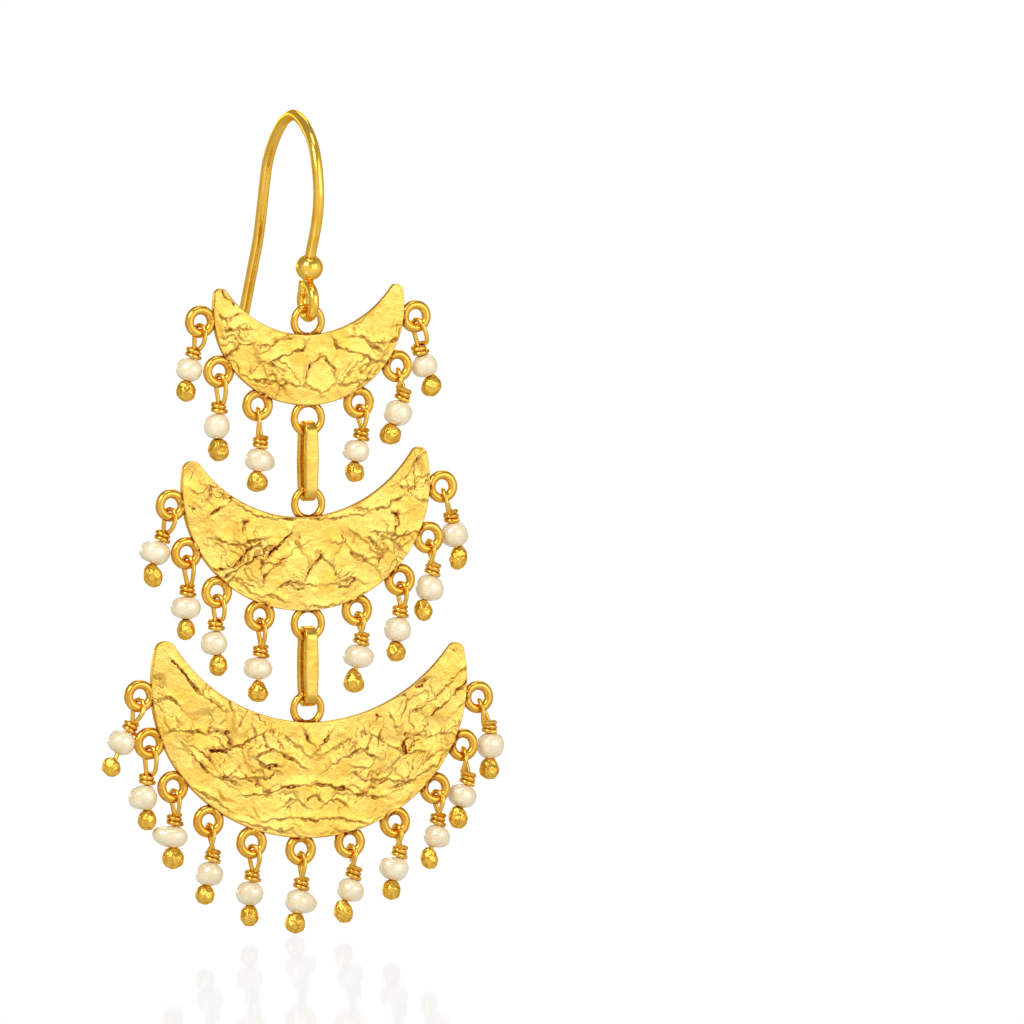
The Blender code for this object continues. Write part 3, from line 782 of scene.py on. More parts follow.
@dataclass
class EarHook:
    """French ear wire with its closed eye, and the bead threaded on its neck.

    The knots lead the bow and the free leg: back, in bow radii, and down, in tail drops.
    """

    wire: float = 1.00 * MM
    bow_radius: float = 6.60 * MM
    set_back: float = 3.40 * MM
    drop: float = 17.69 * MM
    tail_drop: float = 20.30 * MM
    eye_radius: float = 1.40 * MM
    eye_steps: int = 56
    end_room: float = 1.6
    neck_lean: float = math.radians(15)
    bead_width: float = 2.50 * MM
    bead_height: float = 2.40 * MM
    play: float = 0.10 * MM
    bead_play: float = 0.08 * MM
    eye_end: Sequence[Pair] = ((-0.07, 0.90), (-0.05, 0.84), (-0.01, 0.60), (0.02, 0.34), (0.02, 0.12))
    eye_end_gauge: Sequence[float] = (0.55, 0.86)
    tip_turns: Sequence[float] = (18, 36, 54, 70, 82, 88)
    tip_length: float = 0.45
    steps: int = 9
    wire_sides: int = 28
    bead_sides: int = 56
    bead_rings: int = 40
    knots: Sequence[Pair] = ((-0.79, 0.475), (-0.89, 0.374), (-0.90, 0.271), (-0.80, 0.148),
                             (-0.62, 0.064), (-0.31, -0.002), (0.00, -0.02463), (0.27, -0.004),
                             (0.47, 0.030), (0.74, 0.106), (0.97, 0.207), (1.09, 0.315),
                             (1.29, 0.532), (1.50, 0.680), (1.82, 0.887), (2.00, 1.000))

    def neck(self) -> Tuple[Vector, Vector]:
        """Where the straight neck starts above the eye, and its way up."""
        start = Vector((0.0, -self.set_back, 2 * self.eye_radius - self.drop + self.wire / 2))
        return start, Vector((0.0, -math.sin(self.neck_lean), math.cos(self.neck_lean)))

    def centre_line(self) -> List[Vector]:
        """The wire's centre line, from the eye's free end to the free leg's tip."""
        eye = Vector((0.0, -self.set_back, self.eye_radius - self.drop))
        free_end = math.asin((self.wire + self.end_room * self.play) / (2 * self.eye_radius)) * 2
        leg = eye + Vector((0.0, math.sin(free_end), math.cos(free_end))) * self.eye_radius
        path = [leg + Vector((0.0, back, up)) * MM for back, up in self.eye_end]
        for i in range(self.eye_steps):
            angle = free_end + (math.tau - free_end) * i / self.eye_steps
            path.append(eye + Vector((0.0, math.sin(angle), math.cos(angle))) * self.eye_radius)
        start, way = self.neck()
        path.append(start)
        knots = [start, start + way * (self.bead_height + self.play)]
        knots += [Vector((0.0, back * self.bow_radius, -down * self.tail_drop))
                  for back, down in self.knots]
        return path + through(knots, [0] + [self.steps] * (len(knots) - 1))

    def tip(self, path: Sequence[Vector]) -> Tuple[List[Vector], List[float]]:
        """A rounded end for the free leg.

        Args:
            path: the centre line.

        Returns:
            The points past its end, and the wire's share of its thickness at each.
        """
        way = (path[-1] - path[-2]).normalized()
        turns = [math.radians(a) for a in self.tip_turns]
        return ([path[-1] + way * math.sin(t) * self.wire * self.tip_length for t in turns],
                [math.cos(t) for t in turns])

    def make(self, tree: WireTree, wardrobe: Wardrobe) -> None:
        """Builds and dresses the wire and the bead.

        Args:
            tree: the round wire's tree.
            wardrobe: the finishes.
        """
        path = self.centre_line()
        tip, shares = self.tip(path)
        gauge = [*self.eye_end_gauge] + [1.0] * (len(path) - len(self.eye_end_gauge)) + shares
        path = path + tip
        host = host_mesh(path, [(i, i + 1) for i in range(len(path) - 1)], {"gauge": gauge})
        wire = tree.grow("ear_wire", host, wardrobe.materials["polished"],
                         Wire_Radius=self.wire / 2, Wire_Steps=self.wire_sides)
        wardrobe.dress(wire, "polished", Body.HOOK, ["ear_hook"])
        start, way = self.neck()
        body = RoundBody(start + way * (self.play + self.bead_height) / 2, -way, self.bead_width,
                         self.bead_height, self.wire + 2 * self.bead_play)
        bead = mesh_piece("neck_bead", *band(body.rings(self.bead_sides, self.bead_rings), True))
        faces_out(bead)
        wardrobe.dress(bead, "polished", Body.HOOK, ["hook_bead"])


@dataclass
class RoundBody:
    """A drilled round body, such as a bead or a pearl."""

    middle: Vector
    down: Vector
    width: float
    height: float
    bore: float
    squareness: float = 2.0
    off: float = 0.0
    bulge: float = 0.0
    bulge_way: float = 0.0
    lumps: float = 0.0
    lump_scale: float = 800.0
    fine_scale: float = 1900.0
    fine_share: float = 0.12
    bulge_focus: int = 3
    pole_focus: int = 6

    def rings(self, sides: int, latitudes: int) -> List[List[Vector]]:
        """Rings of points from the bore's upper rim over the outside and down to its lower one.

        Args:
            sides: points round it.
            latitudes: rings from top to bottom.

        Returns:
            The rings.
        """
        across = Vector((0.0, 1.0, 0.0)).cross(self.down).normalized()
        up = self.down.cross(across)
        swell = Vector((math.cos(math.radians(self.bulge_way)), 0.0,
                        math.sin(math.radians(self.bulge_way))))
        aside = across * (across.x * self.off * self.width)
        power = 2.0 / self.squareness
        start = math.asin(min(1.0, self.bore / self.width) ** (1.0 / power))
        rim = self.height / 2 * math.cos(start) ** power
        made = [self._round(self.middle - self.down * rim, across, up, self.bore / 2, sides)]
        for i in range(1, latitudes):
            polar = start + (math.pi - 2 * start) * i / latitudes
            cos = math.cos(polar)
            out = math.sin(polar) ** power * self.width / 2
            along = math.copysign(abs(cos) ** power, -cos) * self.height / 2
            near = 1.0 - abs(cos) ** self.pole_focus
            ring = self._round(self.middle + aside * near + self.down * along, across, up, out, sides)
            made.append([self._lumped(p, swell, near) for p in ring])
        made.append(self._round(self.middle + self.down * rim, across, up, self.bore / 2, sides))
        return made

    @staticmethod
    def _round(centre: Vector, across: Vector, up: Vector, radius: float, sides: int) -> List[Vector]:
        """Points round a centre."""
        turns = [math.tau * i / sides for i in range(sides)]
        return [centre + (across * math.cos(t) + up * math.sin(t)) * radius for t in turns]

    def _lumped(self, point: Vector, swell: Vector, near: float) -> Vector:
        """A point moved out by the body's bulge and its lumps."""
        out = (point - self.middle).normalized()
        facing = max(0.0, out.dot(swell))
        lump = (noise.noise(point * self.lump_scale)
                + self.fine_share * noise.noise(point * self.fine_scale))
        return (point + swell * (facing ** self.bulge_focus * self.bulge * self.width / 2 * near)
                + out * (lump * self.lumps * near))


# Crescents


class Layer(NamedTuple):
    """A layer of soft noise: its strength, its lumps' size in metres and which one it is."""

    amount: float
    size: float
    number: int = 0


class Crumple:
    """Soft noise for a sheet that was crumpled and pressed flat again."""

    SPAN = 64
    SKIPPED_DRAWS = 4 * SPAN * SPAN
    LAYER_SHIFT = (17.3, 9.1)

    def __init__(self, seed: int) -> None:
        """Args:
            seed: fixes every random draw.  The levels come after the skipped ones.
        """
        draw = np.random.RandomState(seed)
        draw.rand(self.SKIPPED_DRAWS)
        self.levels = draw.uniform(-1.0, 1.0, (self.SPAN, self.SPAN))

    def swell(self, x: np.ndarray, z: np.ndarray, layer: Layer) -> np.ndarray:
        """One layer of the noise.

        Args:
            x: places across.
            z: places up.
            layer: the layer.

        Returns:
            The noise at each place, from minus the layer's amount to plus it.
        """
        gx = x / layer.size + self.LAYER_SHIFT[0] * layer.number
        gz = z / layer.size + self.LAYER_SHIFT[1] * layer.number
        ix, iz = np.floor(gx).astype(int), np.floor(gz).astype(int)
        fx, fz = smooth_step(gx - ix), smooth_step(gz - iz)
        left, right = ix % self.SPAN, (ix + 1) % self.SPAN
        low, high = (self.levels[left, row] * (1 - fx) + self.levels[right, row] * fx
                     for row in (iz % self.SPAN, (iz + 1) % self.SPAN))
        return layer.amount * (low * (1 - fz) + high * fz)


def smooth_step(share: np.ndarray) -> np.ndarray:
    """Shares from 0 to 1 eased at both ends."""
    return share * share * (3 - 2 * share)


@dataclass(frozen=True)
class Crease:
    """A crease pressed into a crescent, drawn on its left half and mirrored.

    Points are shares: across, of half the crescent's width from the pattern's middle line
    outwards, and up, of its depth from the bowl's lowest point.
    """

    points: Sequence[Pair]
    depth: float = 1.0
    dark: float = 0.6
    lip: float = 0.6
    width: float = 1.0
    right: float = 0.6
    left: float = 1.0


class Terrace(NamedTuple):
    """Plateaus with sharp steps: how many levels, the noise they follow and their height."""

    levels: Layer
    share: float


@dataclass(frozen=True)
class Relief:
    """The crumpled face of a crescent.

    Lengths are metres, and heights are shares of the depth.  Plateaus lie slanted and are
    mirrored about the pattern's middle line, where they fade.
    """

    depth: float = 0.085 * MM
    warp_x: Sequence[Layer] = (Layer(0.50 * MM, 1.3 * MM), Layer(0.20 * MM, 0.36 * MM, 6))
    warp_z: Sequence[Layer] = (Layer(0.45 * MM, 1.1 * MM, 1), Layer(0.20 * MM, 0.36 * MM, 7))
    shift: Pair = (0.004, 0.03)
    slant: Pair = (0.75, 0.66)
    squash: float = 2.2
    live_middle: float = 0.45
    live_wander: Layer = Layer(1.3, 1.7 * MM, 2)
    live_least: float = 0.05
    fade_from: float = 0.3 * MM
    fade_over: float = 1.5 * MM
    fade_least: float = 0.10
    broad: Layer = Layer(0.3, 3.5 * MM, 4)
    fine: Layer = Layer(0.10, 0.30 * MM, 3)
    terraces: Sequence[Terrace] = (Terrace(Layer(2.0, 4.0 * MM, 8), 0.70),
                                   Terrace(Layer(1.3, 2.2 * MM, 9), 0.50))
    step_start: float = 0.85
    step_rise: float = 0.15
    step_sag: float = 0.30
    # Painted shade and tarnish at the terrace steps: where, how wide and how strong.
    shade_and_tarnish_at: float = 0.88
    shade_and_tarnish_width: float = 0.05
    shade_and_tarnish_gain: float = 1.8
    shade_and_tarnish_loss: float = 0.6
    shade_and_tarnish_share: float = 1.1
    sunk: float = 0.3
    back_height: float = 0.45
    back_dark: float = 0.5
    crease_share: float = 1.9
    crease_dark: float = 1.25
    stray_x: Sequence[Layer] = (Layer(0.16 * MM, 0.62 * MM), Layer(0.12 * MM, 0.30 * MM, 2))
    stray_z: Sequence[Layer] = (Layer(0.16 * MM, 0.62 * MM, 1), Layer(0.12 * MM, 0.30 * MM, 3))
    worn_middle: float = 0.95
    worn_wander: Layer = Layer(0.70, 0.7 * MM, 4)
    worn_range: Pair = (0.35, 1.5)
    valley: float = 0.070 * MM
    lip_reach: float = 0.28 * MM
    lip_share: float = 1.6
    shade_width: float = 1.2
    shade_gain: float = 1.5
    shade_loss: float = 0.5

    @staticmethod
    def strayed(crumple: Crumple, start: object, x: np.ndarray, z: np.ndarray,
                layers: Sequence[Layer]) -> np.ndarray:
        """A start value with some layers of noise at each place added to it."""
        for layer in layers:
            start = start + crumple.swell(x, z, layer)
        return start

    def crumpled(self, seed: int, x: np.ndarray, z: np.ndarray,
                 aside: np.ndarray) -> Tuple[np.ndarray, np.ndarray]:
        """Height and darkness of the sheet without the drawn creases.

        Args:
            seed: fixes the noise.
            x: places across, from the ellipse's centre.
            z: places up.
            aside: how far each place is from the pattern's middle line.

        Returns:
            The height and the darkness.
        """
        crumple = Crumple(seed)
        warp_x = self.strayed(crumple, aside, aside, z, self.warp_x) + self.shift[0]
        warp_z = self.strayed(crumple, z, aside, z, self.warp_z) + self.shift[1]
        cos, sin = self.slant
        slant_x = warp_x * cos + warp_z * sin
        slant_z = (warp_z * cos - warp_x * sin) * self.squash
        live = np.clip(self.live_middle + crumple.swell(aside, z, self.live_wander), self.live_least, 1.0)
        live *= np.clip((aside - self.fade_from) / self.fade_over, self.fade_least, 1.0)
        height, dark = crumple.swell(x, z, self.broad), np.zeros(x.shape)
        for levels, share in self.terraces:
            slope = crumple.swell(slant_x, slant_z, levels) + 0.5
            step = np.floor(slope)
            past = slope - step
            sharp = np.clip((past - self.step_start) / self.step_rise, 0.0, 1.0)
            height += share * (step + smooth_step(sharp) - self.step_sag * past * (1 - sharp)) * live
            # Painted shade and tarnish at each terrace step.
            step_shade_and_tarnish = np.exp(-((past - self.shade_and_tarnish_at) / self.shade_and_tarnish_width) ** 2)
            step_shade_and_tarnish = step_shade_and_tarnish * np.clip(self.shade_and_tarnish_gain * live - self.shade_and_tarnish_loss, 0.0, 1.0)
            dark = np.maximum(dark, self.shade_and_tarnish_share * share * step_shade_and_tarnish)
        return height + (crumple.swell(x, z, self.fine) - self.sunk), dark

    def creased(self, seed: int, x: np.ndarray, z: np.ndarray,
                lines: Sequence[Tuple[Crease, float, Sequence[Pair]]]) -> Tuple[np.ndarray, np.ndarray]:
        """Height and darkness of the drawn creases.

        Args:
            seed: fixes how the lines stray and how worn they are.
            x: places across, from the ellipse's centre.
            z: places up.
            lines: each crease with its share and its points in metres.

        Returns:
            The height and the darkness that they add.
        """
        height, dark = np.zeros(x.shape), np.zeros(x.shape)
        crumple = Crumple(seed)
        stray_x = self.strayed(crumple, 0.0, x, z, self.stray_x)
        stray_z = self.strayed(crumple, 0.0, x, z, self.stray_z)
        worn = np.clip(self.worn_middle + crumple.swell(x, z, self.worn_wander), *self.worn_range)
        for crease, share, line in lines:
            gap, above = line_gap(x + stray_x, z + stray_z, line)
            wide = self.valley * crease.width * worn
            cut = np.exp(-(gap / wide) ** 2)
            lip = np.where(above, np.exp(-gap / self.lip_reach), 0.0) * (1.0 - cut)
            height += share * crease.depth * (self.lip_share * crease.lip * lip - cut * worn)
            # Painted shade and tarnish along each crease.
            shade = np.exp(-(gap / (self.shade_width * wide)) ** 2)
            shade = shade * np.clip(self.shade_gain * worn - self.shade_loss, 0.0, 1.0)
            dark = np.maximum(dark, share * crease.dark * shade)
        return height, dark


@dataclass
class Drop:
    """One pearl drop on its edge ring.  Angles are degrees, the rest shares of the usual sizes."""

    station: float
    stand: float
    loop_lean: float
    turn: float
    lean: float
    pin: float
    pearl_w: float
    pearl_h: float
    off: float
    bulge: float
    bulge_way: float
    nugget_w: float
    nugget_h: float
    neck: float = 0.0
    pear: float = 0.10


@dataclass
class DropMaker:
    """Builds the wrapped pins, nuggets and pearls of a crescent's drops."""

    edge_radius: float = 1.04 * MM
    wire: float = 0.42 * MM
    loop_radius: float = 0.71 * MM
    length: float = 3.20 * MM
    coil_radius: float = 0.52 * MM
    coil_pitch: float = 0.43 * MM
    coil_tail: float = 0.35 * MM
    coil_start: float = math.radians(60)
    coil_turn: float = math.radians(696)
    pearl_width: float = 2.55 * MM
    pearl_height: float = 2.00 * MM
    pearl_bore: float = 0.62 * MM
    pearl_seat: float = 0.03 * MM
    pearl_swell: float = 1.09
    squareness: float = 2.25
    nugget_width: float = 1.70 * MM
    nugget_height: float = 2.00 * MM
    coil_steps: int = 44
    wire_sides: int = 12
    loop_steps: int = 14
    pearl_sides: int = 44
    pearl_rings: int = 32
    pearl_lumps: float = 0.08 * MM
    nugget_detail: int = 5
    tail_lean: float = 0.4
    below_knee: float = 1.2
    in_nugget: float = 0.8
    bow: Sequence[Tuple[float, float, float]] = ((0.30, 0.03, 0.00), (0.60, -0.02, 0.00),
                                                 (0.82, -0.14, 0.02), (0.96, -0.34, 0.08))

    def places(self, drop: Drop, centre: Vector) -> Dict[str, object]:
        """Points and directions that one drop's pieces share.

        Args:
            drop: the drop's row.
            centre: the middle of its edge ring.

        Returns:
            The points by name.
        """
        lean, rear = turn(-drop.loop_lean, "Y"), turn(drop.turn, "Z") @ -FRONT
        wire = Vector((0.0, 0.0, -self.edge_radius))
        shown = self.coil_pitch * (math.tau - self.coil_start) / math.tau + self.coil_pitch / 2
        knee = centre + lean @ (rear * self.loop_radius
                                - Vector((0.0, 0.0, drop.pin * self.length - shown)))
        loop = [centre + lean @ (wire + rear * self.loop_radius)]
        for i in range(1, self.loop_steps + 1):
            angle = math.pi * i / self.loop_steps
            out = rear * math.cos(angle) + Vector((0.0, 0.0, math.sin(angle)))
            loop.append(centre + lean @ (wire + out * self.loop_radius))
        down = turn(-drop.lean, "Y") @ Vector((0.0, 0.0, -1.0))
        front = lean @ -rear
        front = (front - down * front.dot(down)).normalized()
        top = self.coil_pitch * self.coil_turn / math.tau + self.wire / 2 + self.pearl_seat
        height = drop.pearl_h * self.pearl_height
        return {"knee": knee, "loop": loop, "down": down, "front": front,
                "side": (-down).cross(front), "pearl": knee + down * (top + height / 2),
                "nugget": knee + down * (top + height + drop.neck * self.nugget_height)}

    def coil(self, at: Dict[str, object]) -> List[Vector]:
        """The wrap round the shaft, down from the loop's front leg to its tail.

        Args:
            at: the drop's places.

        Returns:
            The wrap's points.
        """
        knee, down, front, side = at["knee"], at["down"], at["front"], at["side"]
        leg_end = at["loop"][-1]
        low_leg = leg_end + down * (knee - leg_end).dot(down)
        reach = (low_leg - knee).length
        knots = [leg_end.lerp(low_leg, share) + front * reach * out + side * reach * over
                 for share, out, over in self.bow]
        turns = []
        for i in range(self.coil_steps + 1):
            share = self.coil_turn * i / self.coil_steps
            angle = self.coil_start + share
            around = front * math.cos(angle) + side * math.sin(angle)
            turns.append(knee + around * self.coil_radius + down * (self.coil_pitch * share / math.tau))
        angle = self.coil_start + self.coil_turn
        onward = (side * math.cos(angle) - front * math.sin(angle)
                  + front * math.cos(angle) * self.tail_lean)
        tail = turns[-1] + onward.normalized() * self.coil_tail
        lead = through([leg_end] + knots + [turns[0], turns[2]], [0] + [4] * (len(knots) + 1) + [0])
        return lead + turns[1:] + [turns[-1].lerp(tail, 0.5), tail]

    def pin_line(self, at: Dict[str, object]) -> List[Vector]:
        """A pin's centre line, from the nugget through the pearl, round the ring and back.

        Args:
            at: the drop's places.

        Returns:
            The line's points.
        """
        knee, loop = at["knee"], at["loop"]
        below = knee + at["down"] * self.wire * self.below_knee
        start = at["nugget"] + at["down"] * self.wire * self.in_nugget
        bend = through([below, knee, loop[0], loop[1], loop[2]], [0, 4, 8, 0, 0])
        return [start, below] + bend + loop[1:] + self.coil(at)

    def make(self, tier: "Crescent", wires: WireTree, nuggets: NuggetTree, wardrobe: Wardrobe) -> None:
        """Builds and dresses every drop of a crescent.

        Args:
            tier: the crescent that carries them.
            wires: the round wire's tree.
            nuggets: the nuggets' tree.
            wardrobe: the finishes.
        """
        points, edges, tops, sizes, tilts = [], [], [], [], []
        shells, faces = [], []
        for drop, centre in zip(tier.drops, tier.ring_centres()):
            at = self.places(drop, centre)
            line = self.pin_line(at)
            edges += [(len(points) + i, len(points) + i + 1) for i in range(len(line) - 1)]
            points += line
            width, height = drop.nugget_w * self.nugget_width, drop.nugget_h * self.nugget_height
            tops.append(at["nugget"] + at["down"] * height / 2)
            sizes.append(Vector((width, width, height)))
            tilts.append(Vector((0.0, math.radians(drop.lean), 0.0)))
            body = RoundBody(at["pearl"], at["down"], drop.pearl_w * self.pearl_width,
                             drop.pearl_h * self.pearl_height * self.pearl_swell, self.pearl_bore,
                             self.squareness, drop.off, drop.bulge, drop.bulge_way, self.pearl_lumps)
            shell, quads = band(body.rings(self.pearl_sides, self.pearl_rings), True)
            faces += [tuple(len(shells) + v for v in quad) for quad in quads]
            shells += shell
        nodes = range(1, len(tier.drops) + 1)
        host = host_mesh(points, edges, {"gauge": [1.0] * len(points)})
        pins = wires.grow(f"pin_wires_{tier.name}", host, wardrobe.materials["wire"],
                          Wire_Radius=self.wire / 2, Wire_Steps=self.wire_sides)
        stood_for = [f"pin_{tier.name}_{n}" for n in nodes]
        wardrobe.dress(pins, "wire", tier.body, stood_for)
        host = host_mesh(tops, [], {"pear": [drop.pear for drop in tier.drops]},
                         {"size": sizes, "tilt": tilts, "middle": tops})
        lumps = nuggets.grow(f"nuggets_{tier.name}", host, wardrobe.materials["nugget"],
                             Detail=self.nugget_detail)
        wardrobe.dress(lumps, "nugget", tier.body, stood_for)
        pearls = mesh_piece(f"pearls_{tier.name}", shells, faces)
        faces_out(pearls)
        wardrobe.dress(pearls, "pearl", tier.body, [f"pearl_{tier.name}_{n}" for n in nodes])


@dataclass
class Crescent:
    """One crescent plate with its crumpled relief and soldered rings."""

    name: str
    body: Body
    hang: Vector
    width: float
    bowl: float
    hollow: float
    depth: float
    tilt: float
    aside: float
    left_tip: float
    right_tip: float
    middle_line: float
    seed: int
    has_low_ring: bool
    creases: Sequence[Crease]
    drops: Sequence[Drop]
    thickness: float = 0.70 * MM
    tip_radius: float = 0.80 * MM
    tier_radius: float = 1.365 * MM
    tier_wire: float = 0.62 * MM
    tier_extra: float = 0.06 * MM
    tier_set: float = 1.17 * MM
    edge_radius: float = 1.04 * MM
    edge_wire: float = 0.78 * MM
    edge_extra: float = 0.06 * MM
    edge_set: float = 1.10 * MM
    ring_back: float = 0.06 * MM
    cell: float = 0.096 * MM
    rim: float = 0.14 * MM
    inset_most: float = 0.42
    rim_shares: Sequence[float] = (0.0, 0.10, 0.32, 0.62, 1.0)
    # How far the painted contact shade and solder seam reach onto the rings.
    seam_shade_reach: float = 0.42 * MM
    edge_run: float = 1.45
    edge_steps: int = 260
    tip_steps: int = 24
    back_seed: int = 50
    crease_seed: int = 5
    relief: Relief = Relief()

    def lay(self, point: Sequence[float], y: float = 0.0) -> Vector:
        """A point of the tier's own plane brought to its place in the frame.

        Args:
            point: across and up from the hanging ring's top wire.
            y: how far back.

        Returns:
            The place.
        """
        return self.hang + turn(-self.tilt, "Y") @ Vector((point[0], y, point[1]))

    def bowl_centre(self) -> Pair:
        """The bowl ellipse's centre in the tier's own plane."""
        upper = -self.tier_radius - self.tier_set
        return self.aside * self.width, upper - self.depth + self.bowl / 2

    def bowl_point(self, angle: float) -> Tuple[Vector, Vector]:
        """A point of the bowl's edge from the ellipse's centre, and the way out there.

        Args:
            angle: the ellipse's angle from straight down.

        Returns:
            The point and the way.
        """
        a, b = self.width / 2, self.bowl / 2
        way = Vector((math.sin(angle) / a, -math.cos(angle) / b)).normalized()
        return Vector((a * math.sin(angle), -b * math.cos(angle))), way

    def nearest(self, point: Vector) -> float:
        """The bowl's angle nearest to a point.

        Args:
            point: the point from the ellipse's centre.

        Returns:
            The angle.
        """
        a, b = self.width / 2, self.bowl / 2
        angle = math.atan2(point.x / a, -point.y / b)
        rounds, stride = 30, 0.7
        for _ in range(rounds):
            sin, cos = math.sin(angle), math.cos(angle)
            slope = (a * sin - point.x) * a * cos + (-b * cos - point.y) * b * sin
            angle -= slope / ((a * cos) ** 2 + (b * sin) ** 2) * stride
        return angle

    def tip(self, radius: float) -> Tuple[Vector, float, float, Vector]:
        """A right tip's rounding.

        Args:
            radius: the rounding's radius.

        Returns:
            Its centre, the angles where it meets bowl and hollow, and the hollow's centre.
        """
        hollow_centre = Vector((0.0, self.depth + self.hollow - self.bowl / 2))
        low, high, rounds = 0.0, math.radians(150), 50
        for _ in range(rounds):
            middle = (low + high) / 2
            way = Vector((math.sin(middle), -math.cos(middle)))
            centre = hollow_centre + way * (self.hollow + radius)
            angle = self.nearest(centre)
            at, out = self.bowl_point(angle)
            if (at - centre).dot(out) > radius:
                low = middle
            else:
                high = middle
        return centre, angle, low, hollow_centre

    def half_edges(self, side: int) -> Tuple[List[Vector], List[Vector]]:
        """Dense points of one half's bowl edge and hollow edge, from the middle to the tip.

        Args:
            side: -1 for the left half and 1 for the right one.

        Returns:
            The lower and the upper edge's points, from the ellipse's centre.
        """
        radius = (self.left_tip if side < 0 else self.right_tip) * self.tip_radius
        centre, bowl_end, hollow_end, hollow_centre = self.tip(radius)
        steps, bend = self.edge_steps, self.tip_steps
        lower = [self.bowl_point(bowl_end * i / steps)[0] for i in range(steps + 1)]
        upper = [hollow_centre + Vector((math.sin(a), -math.cos(a))) * self.hollow
                 for a in (hollow_end * i / steps for i in range(steps + 1))]
        first = math.atan2(*reversed(lower[-1] - centre))
        last = math.atan2(*reversed(hollow_centre - centre))
        if last < first:
            last += math.tau
        middle = (first + last) / 2
        for i in range(1, bend + 1):
            a, b = first + (middle - first) * i / bend, last + (middle - last) * i / bend
            lower.append(centre + Vector((math.cos(a), math.sin(a))) * radius)
            upper.append(centre + Vector((math.cos(b), math.sin(b))) * radius)
        if side < 0:
            return [Vector((-p.x, p.y)) for p in lower], [Vector((-p.x, p.y)) for p in upper]
        return lower, upper

    def edge_chains(self) -> Tuple[np.ndarray, np.ndarray]:
        """The lower and the upper edge from the left tip to the right one, in even steps."""
        left, right = self.half_edges(-1), self.half_edges(1)
        chains = []
        stations = int(self.width * self.edge_run / self.cell)
        for one, other in zip(left, right):
            points = np.array([tuple(p) for p in one[::-1] + other[1:]])
            run = np.r_[0.0, np.cumsum(np.hypot(*np.diff(points, axis=0).T))]
            at = np.linspace(0.0, run[-1], stations + 1)
            chains.append(np.c_[np.interp(at, run, points[:, 0]), np.interp(at, run, points[:, 1])])
        return chains[0], chains[1]

    def ring_centres(self) -> List[Vector]:
        """The edge rings' middles in the frame."""
        cx, cz = self.bowl_centre()
        centres = []
        for drop in self.drops:
            at, out = self.bowl_point(math.radians(drop.station))
            seat = at + out * (drop.stand * self.edge_set)
            centres.append(self.lay((cx + seat.x, cz + seat.y), self.ring_back))
        return centres

    def tier_ring_centres(self) -> List[Vector]:
        """The middle rings' middles in the frame."""
        centres = [self.lay((0.0, -self.tier_radius), self.ring_back)]
        if self.has_low_ring:
            centres.append(self.low_centre(self.ring_back))
        return centres

    def low_centre(self, y: float) -> Vector:
        """The low ring's middle in the frame, as far back as y says."""
        foot = -self.tier_radius - 2 * self.tier_set - self.depth
        return self.lay((foot * math.tan(math.radians(self.tilt)), foot), y)

    def low_wire(self) -> Vector:
        """The middle of the low ring's wire at its lowest, in the tiers' plane."""
        return self.low_centre(0.0) - Vector((0.0, 0.0, self.tier_radius))

    def drawn_lines(self) -> List[Tuple[Crease, float, Sequence[Pair]]]:
        """The creases of both halves, each with its share and its points in metres."""
        half = self.width / 2
        lines = []
        for crease in self.creases:
            for side, share in ((-1.0, crease.left), (1.0, crease.right)):
                if share:
                    lines.append((crease, share, [((self.middle_line + side * u) * half,
                                                   v * self.depth - self.bowl / 2)
                                                  for u, v in crease.points]))
        return lines

    def surface(self, x: np.ndarray, z: np.ndarray, back: bool) -> Tuple[np.ndarray, np.ndarray]:
        """Relief, and painted shade and tarnish, of one face.

        Args:
            x: places across, from the ellipse's centre.
            z: places up.
            back: whether it is the plainer rear face.

        Returns:
            The relief's height in metres and the painted shade and tarnish from 0 to 1.
        """
        relief, aside = self.relief, np.abs(x - self.middle_line * self.width / 2)
        height, dark = relief.crumpled(self.seed + (self.back_seed if back else 0), x, z, aside)
        if back:
            return relief.back_height * relief.depth * height, relief.back_dark * dark
        drawn, drawn_dark = relief.creased(self.seed + self.crease_seed, x, z, self.drawn_lines())
        dark = np.maximum(dark, np.minimum(relief.crease_dark * drawn_dark, 1.0))
        return relief.depth * (height + relief.crease_share * drawn), dark

    def plate_face(self, lower: np.ndarray, upper: np.ndarray, back: bool,
                   rows: int) -> Tuple[np.ndarray, np.ndarray]:
        """Points of one face with its rounded rim.

        Args:
            lower: the bowl edge's points.
            upper: the hollow edge's points.
            back: whether it is the rear face.
            rows: rows of points between the rims.

        Returns:
            The points, station by row, in the tier's plane and the painted shade and tarnish of each.
        """
        length = np.hypot(*(upper - lower).T)
        shares = np.linspace(0.0, 1.0, rows + 1)[1:-1]
        inset = np.minimum(self.rim / np.maximum(length, SAME_PLACE), self.inset_most)
        columns = [share * inset for share in self.rim_shares]
        columns += [inset + (1 - 2 * inset) * s for s in shares]
        columns += [1 - share * inset for share in self.rim_shares[::-1]]
        v = np.array(columns).T
        x = lower[:, :1] + (upper - lower)[:, :1] * v
        z = lower[:, 1:] + (upper - lower)[:, 1:] * v
        near = np.clip(outline_gap(x, z, np.r_[lower, upper]) / self.rim, 0.0, 1.0)
        rounding = self.rim * (1 - np.sqrt(np.clip(1 - (1 - near) ** 2, 0.0, 1.0)))
        height, dark = self.surface(x, z, back)
        out = self.thickness / 2 - rounding + height * near
        y = out if back else -out
        cx, cz = self.bowl_centre()
        return np.stack([x + cx, y, z + cz], axis=-1), dark * near

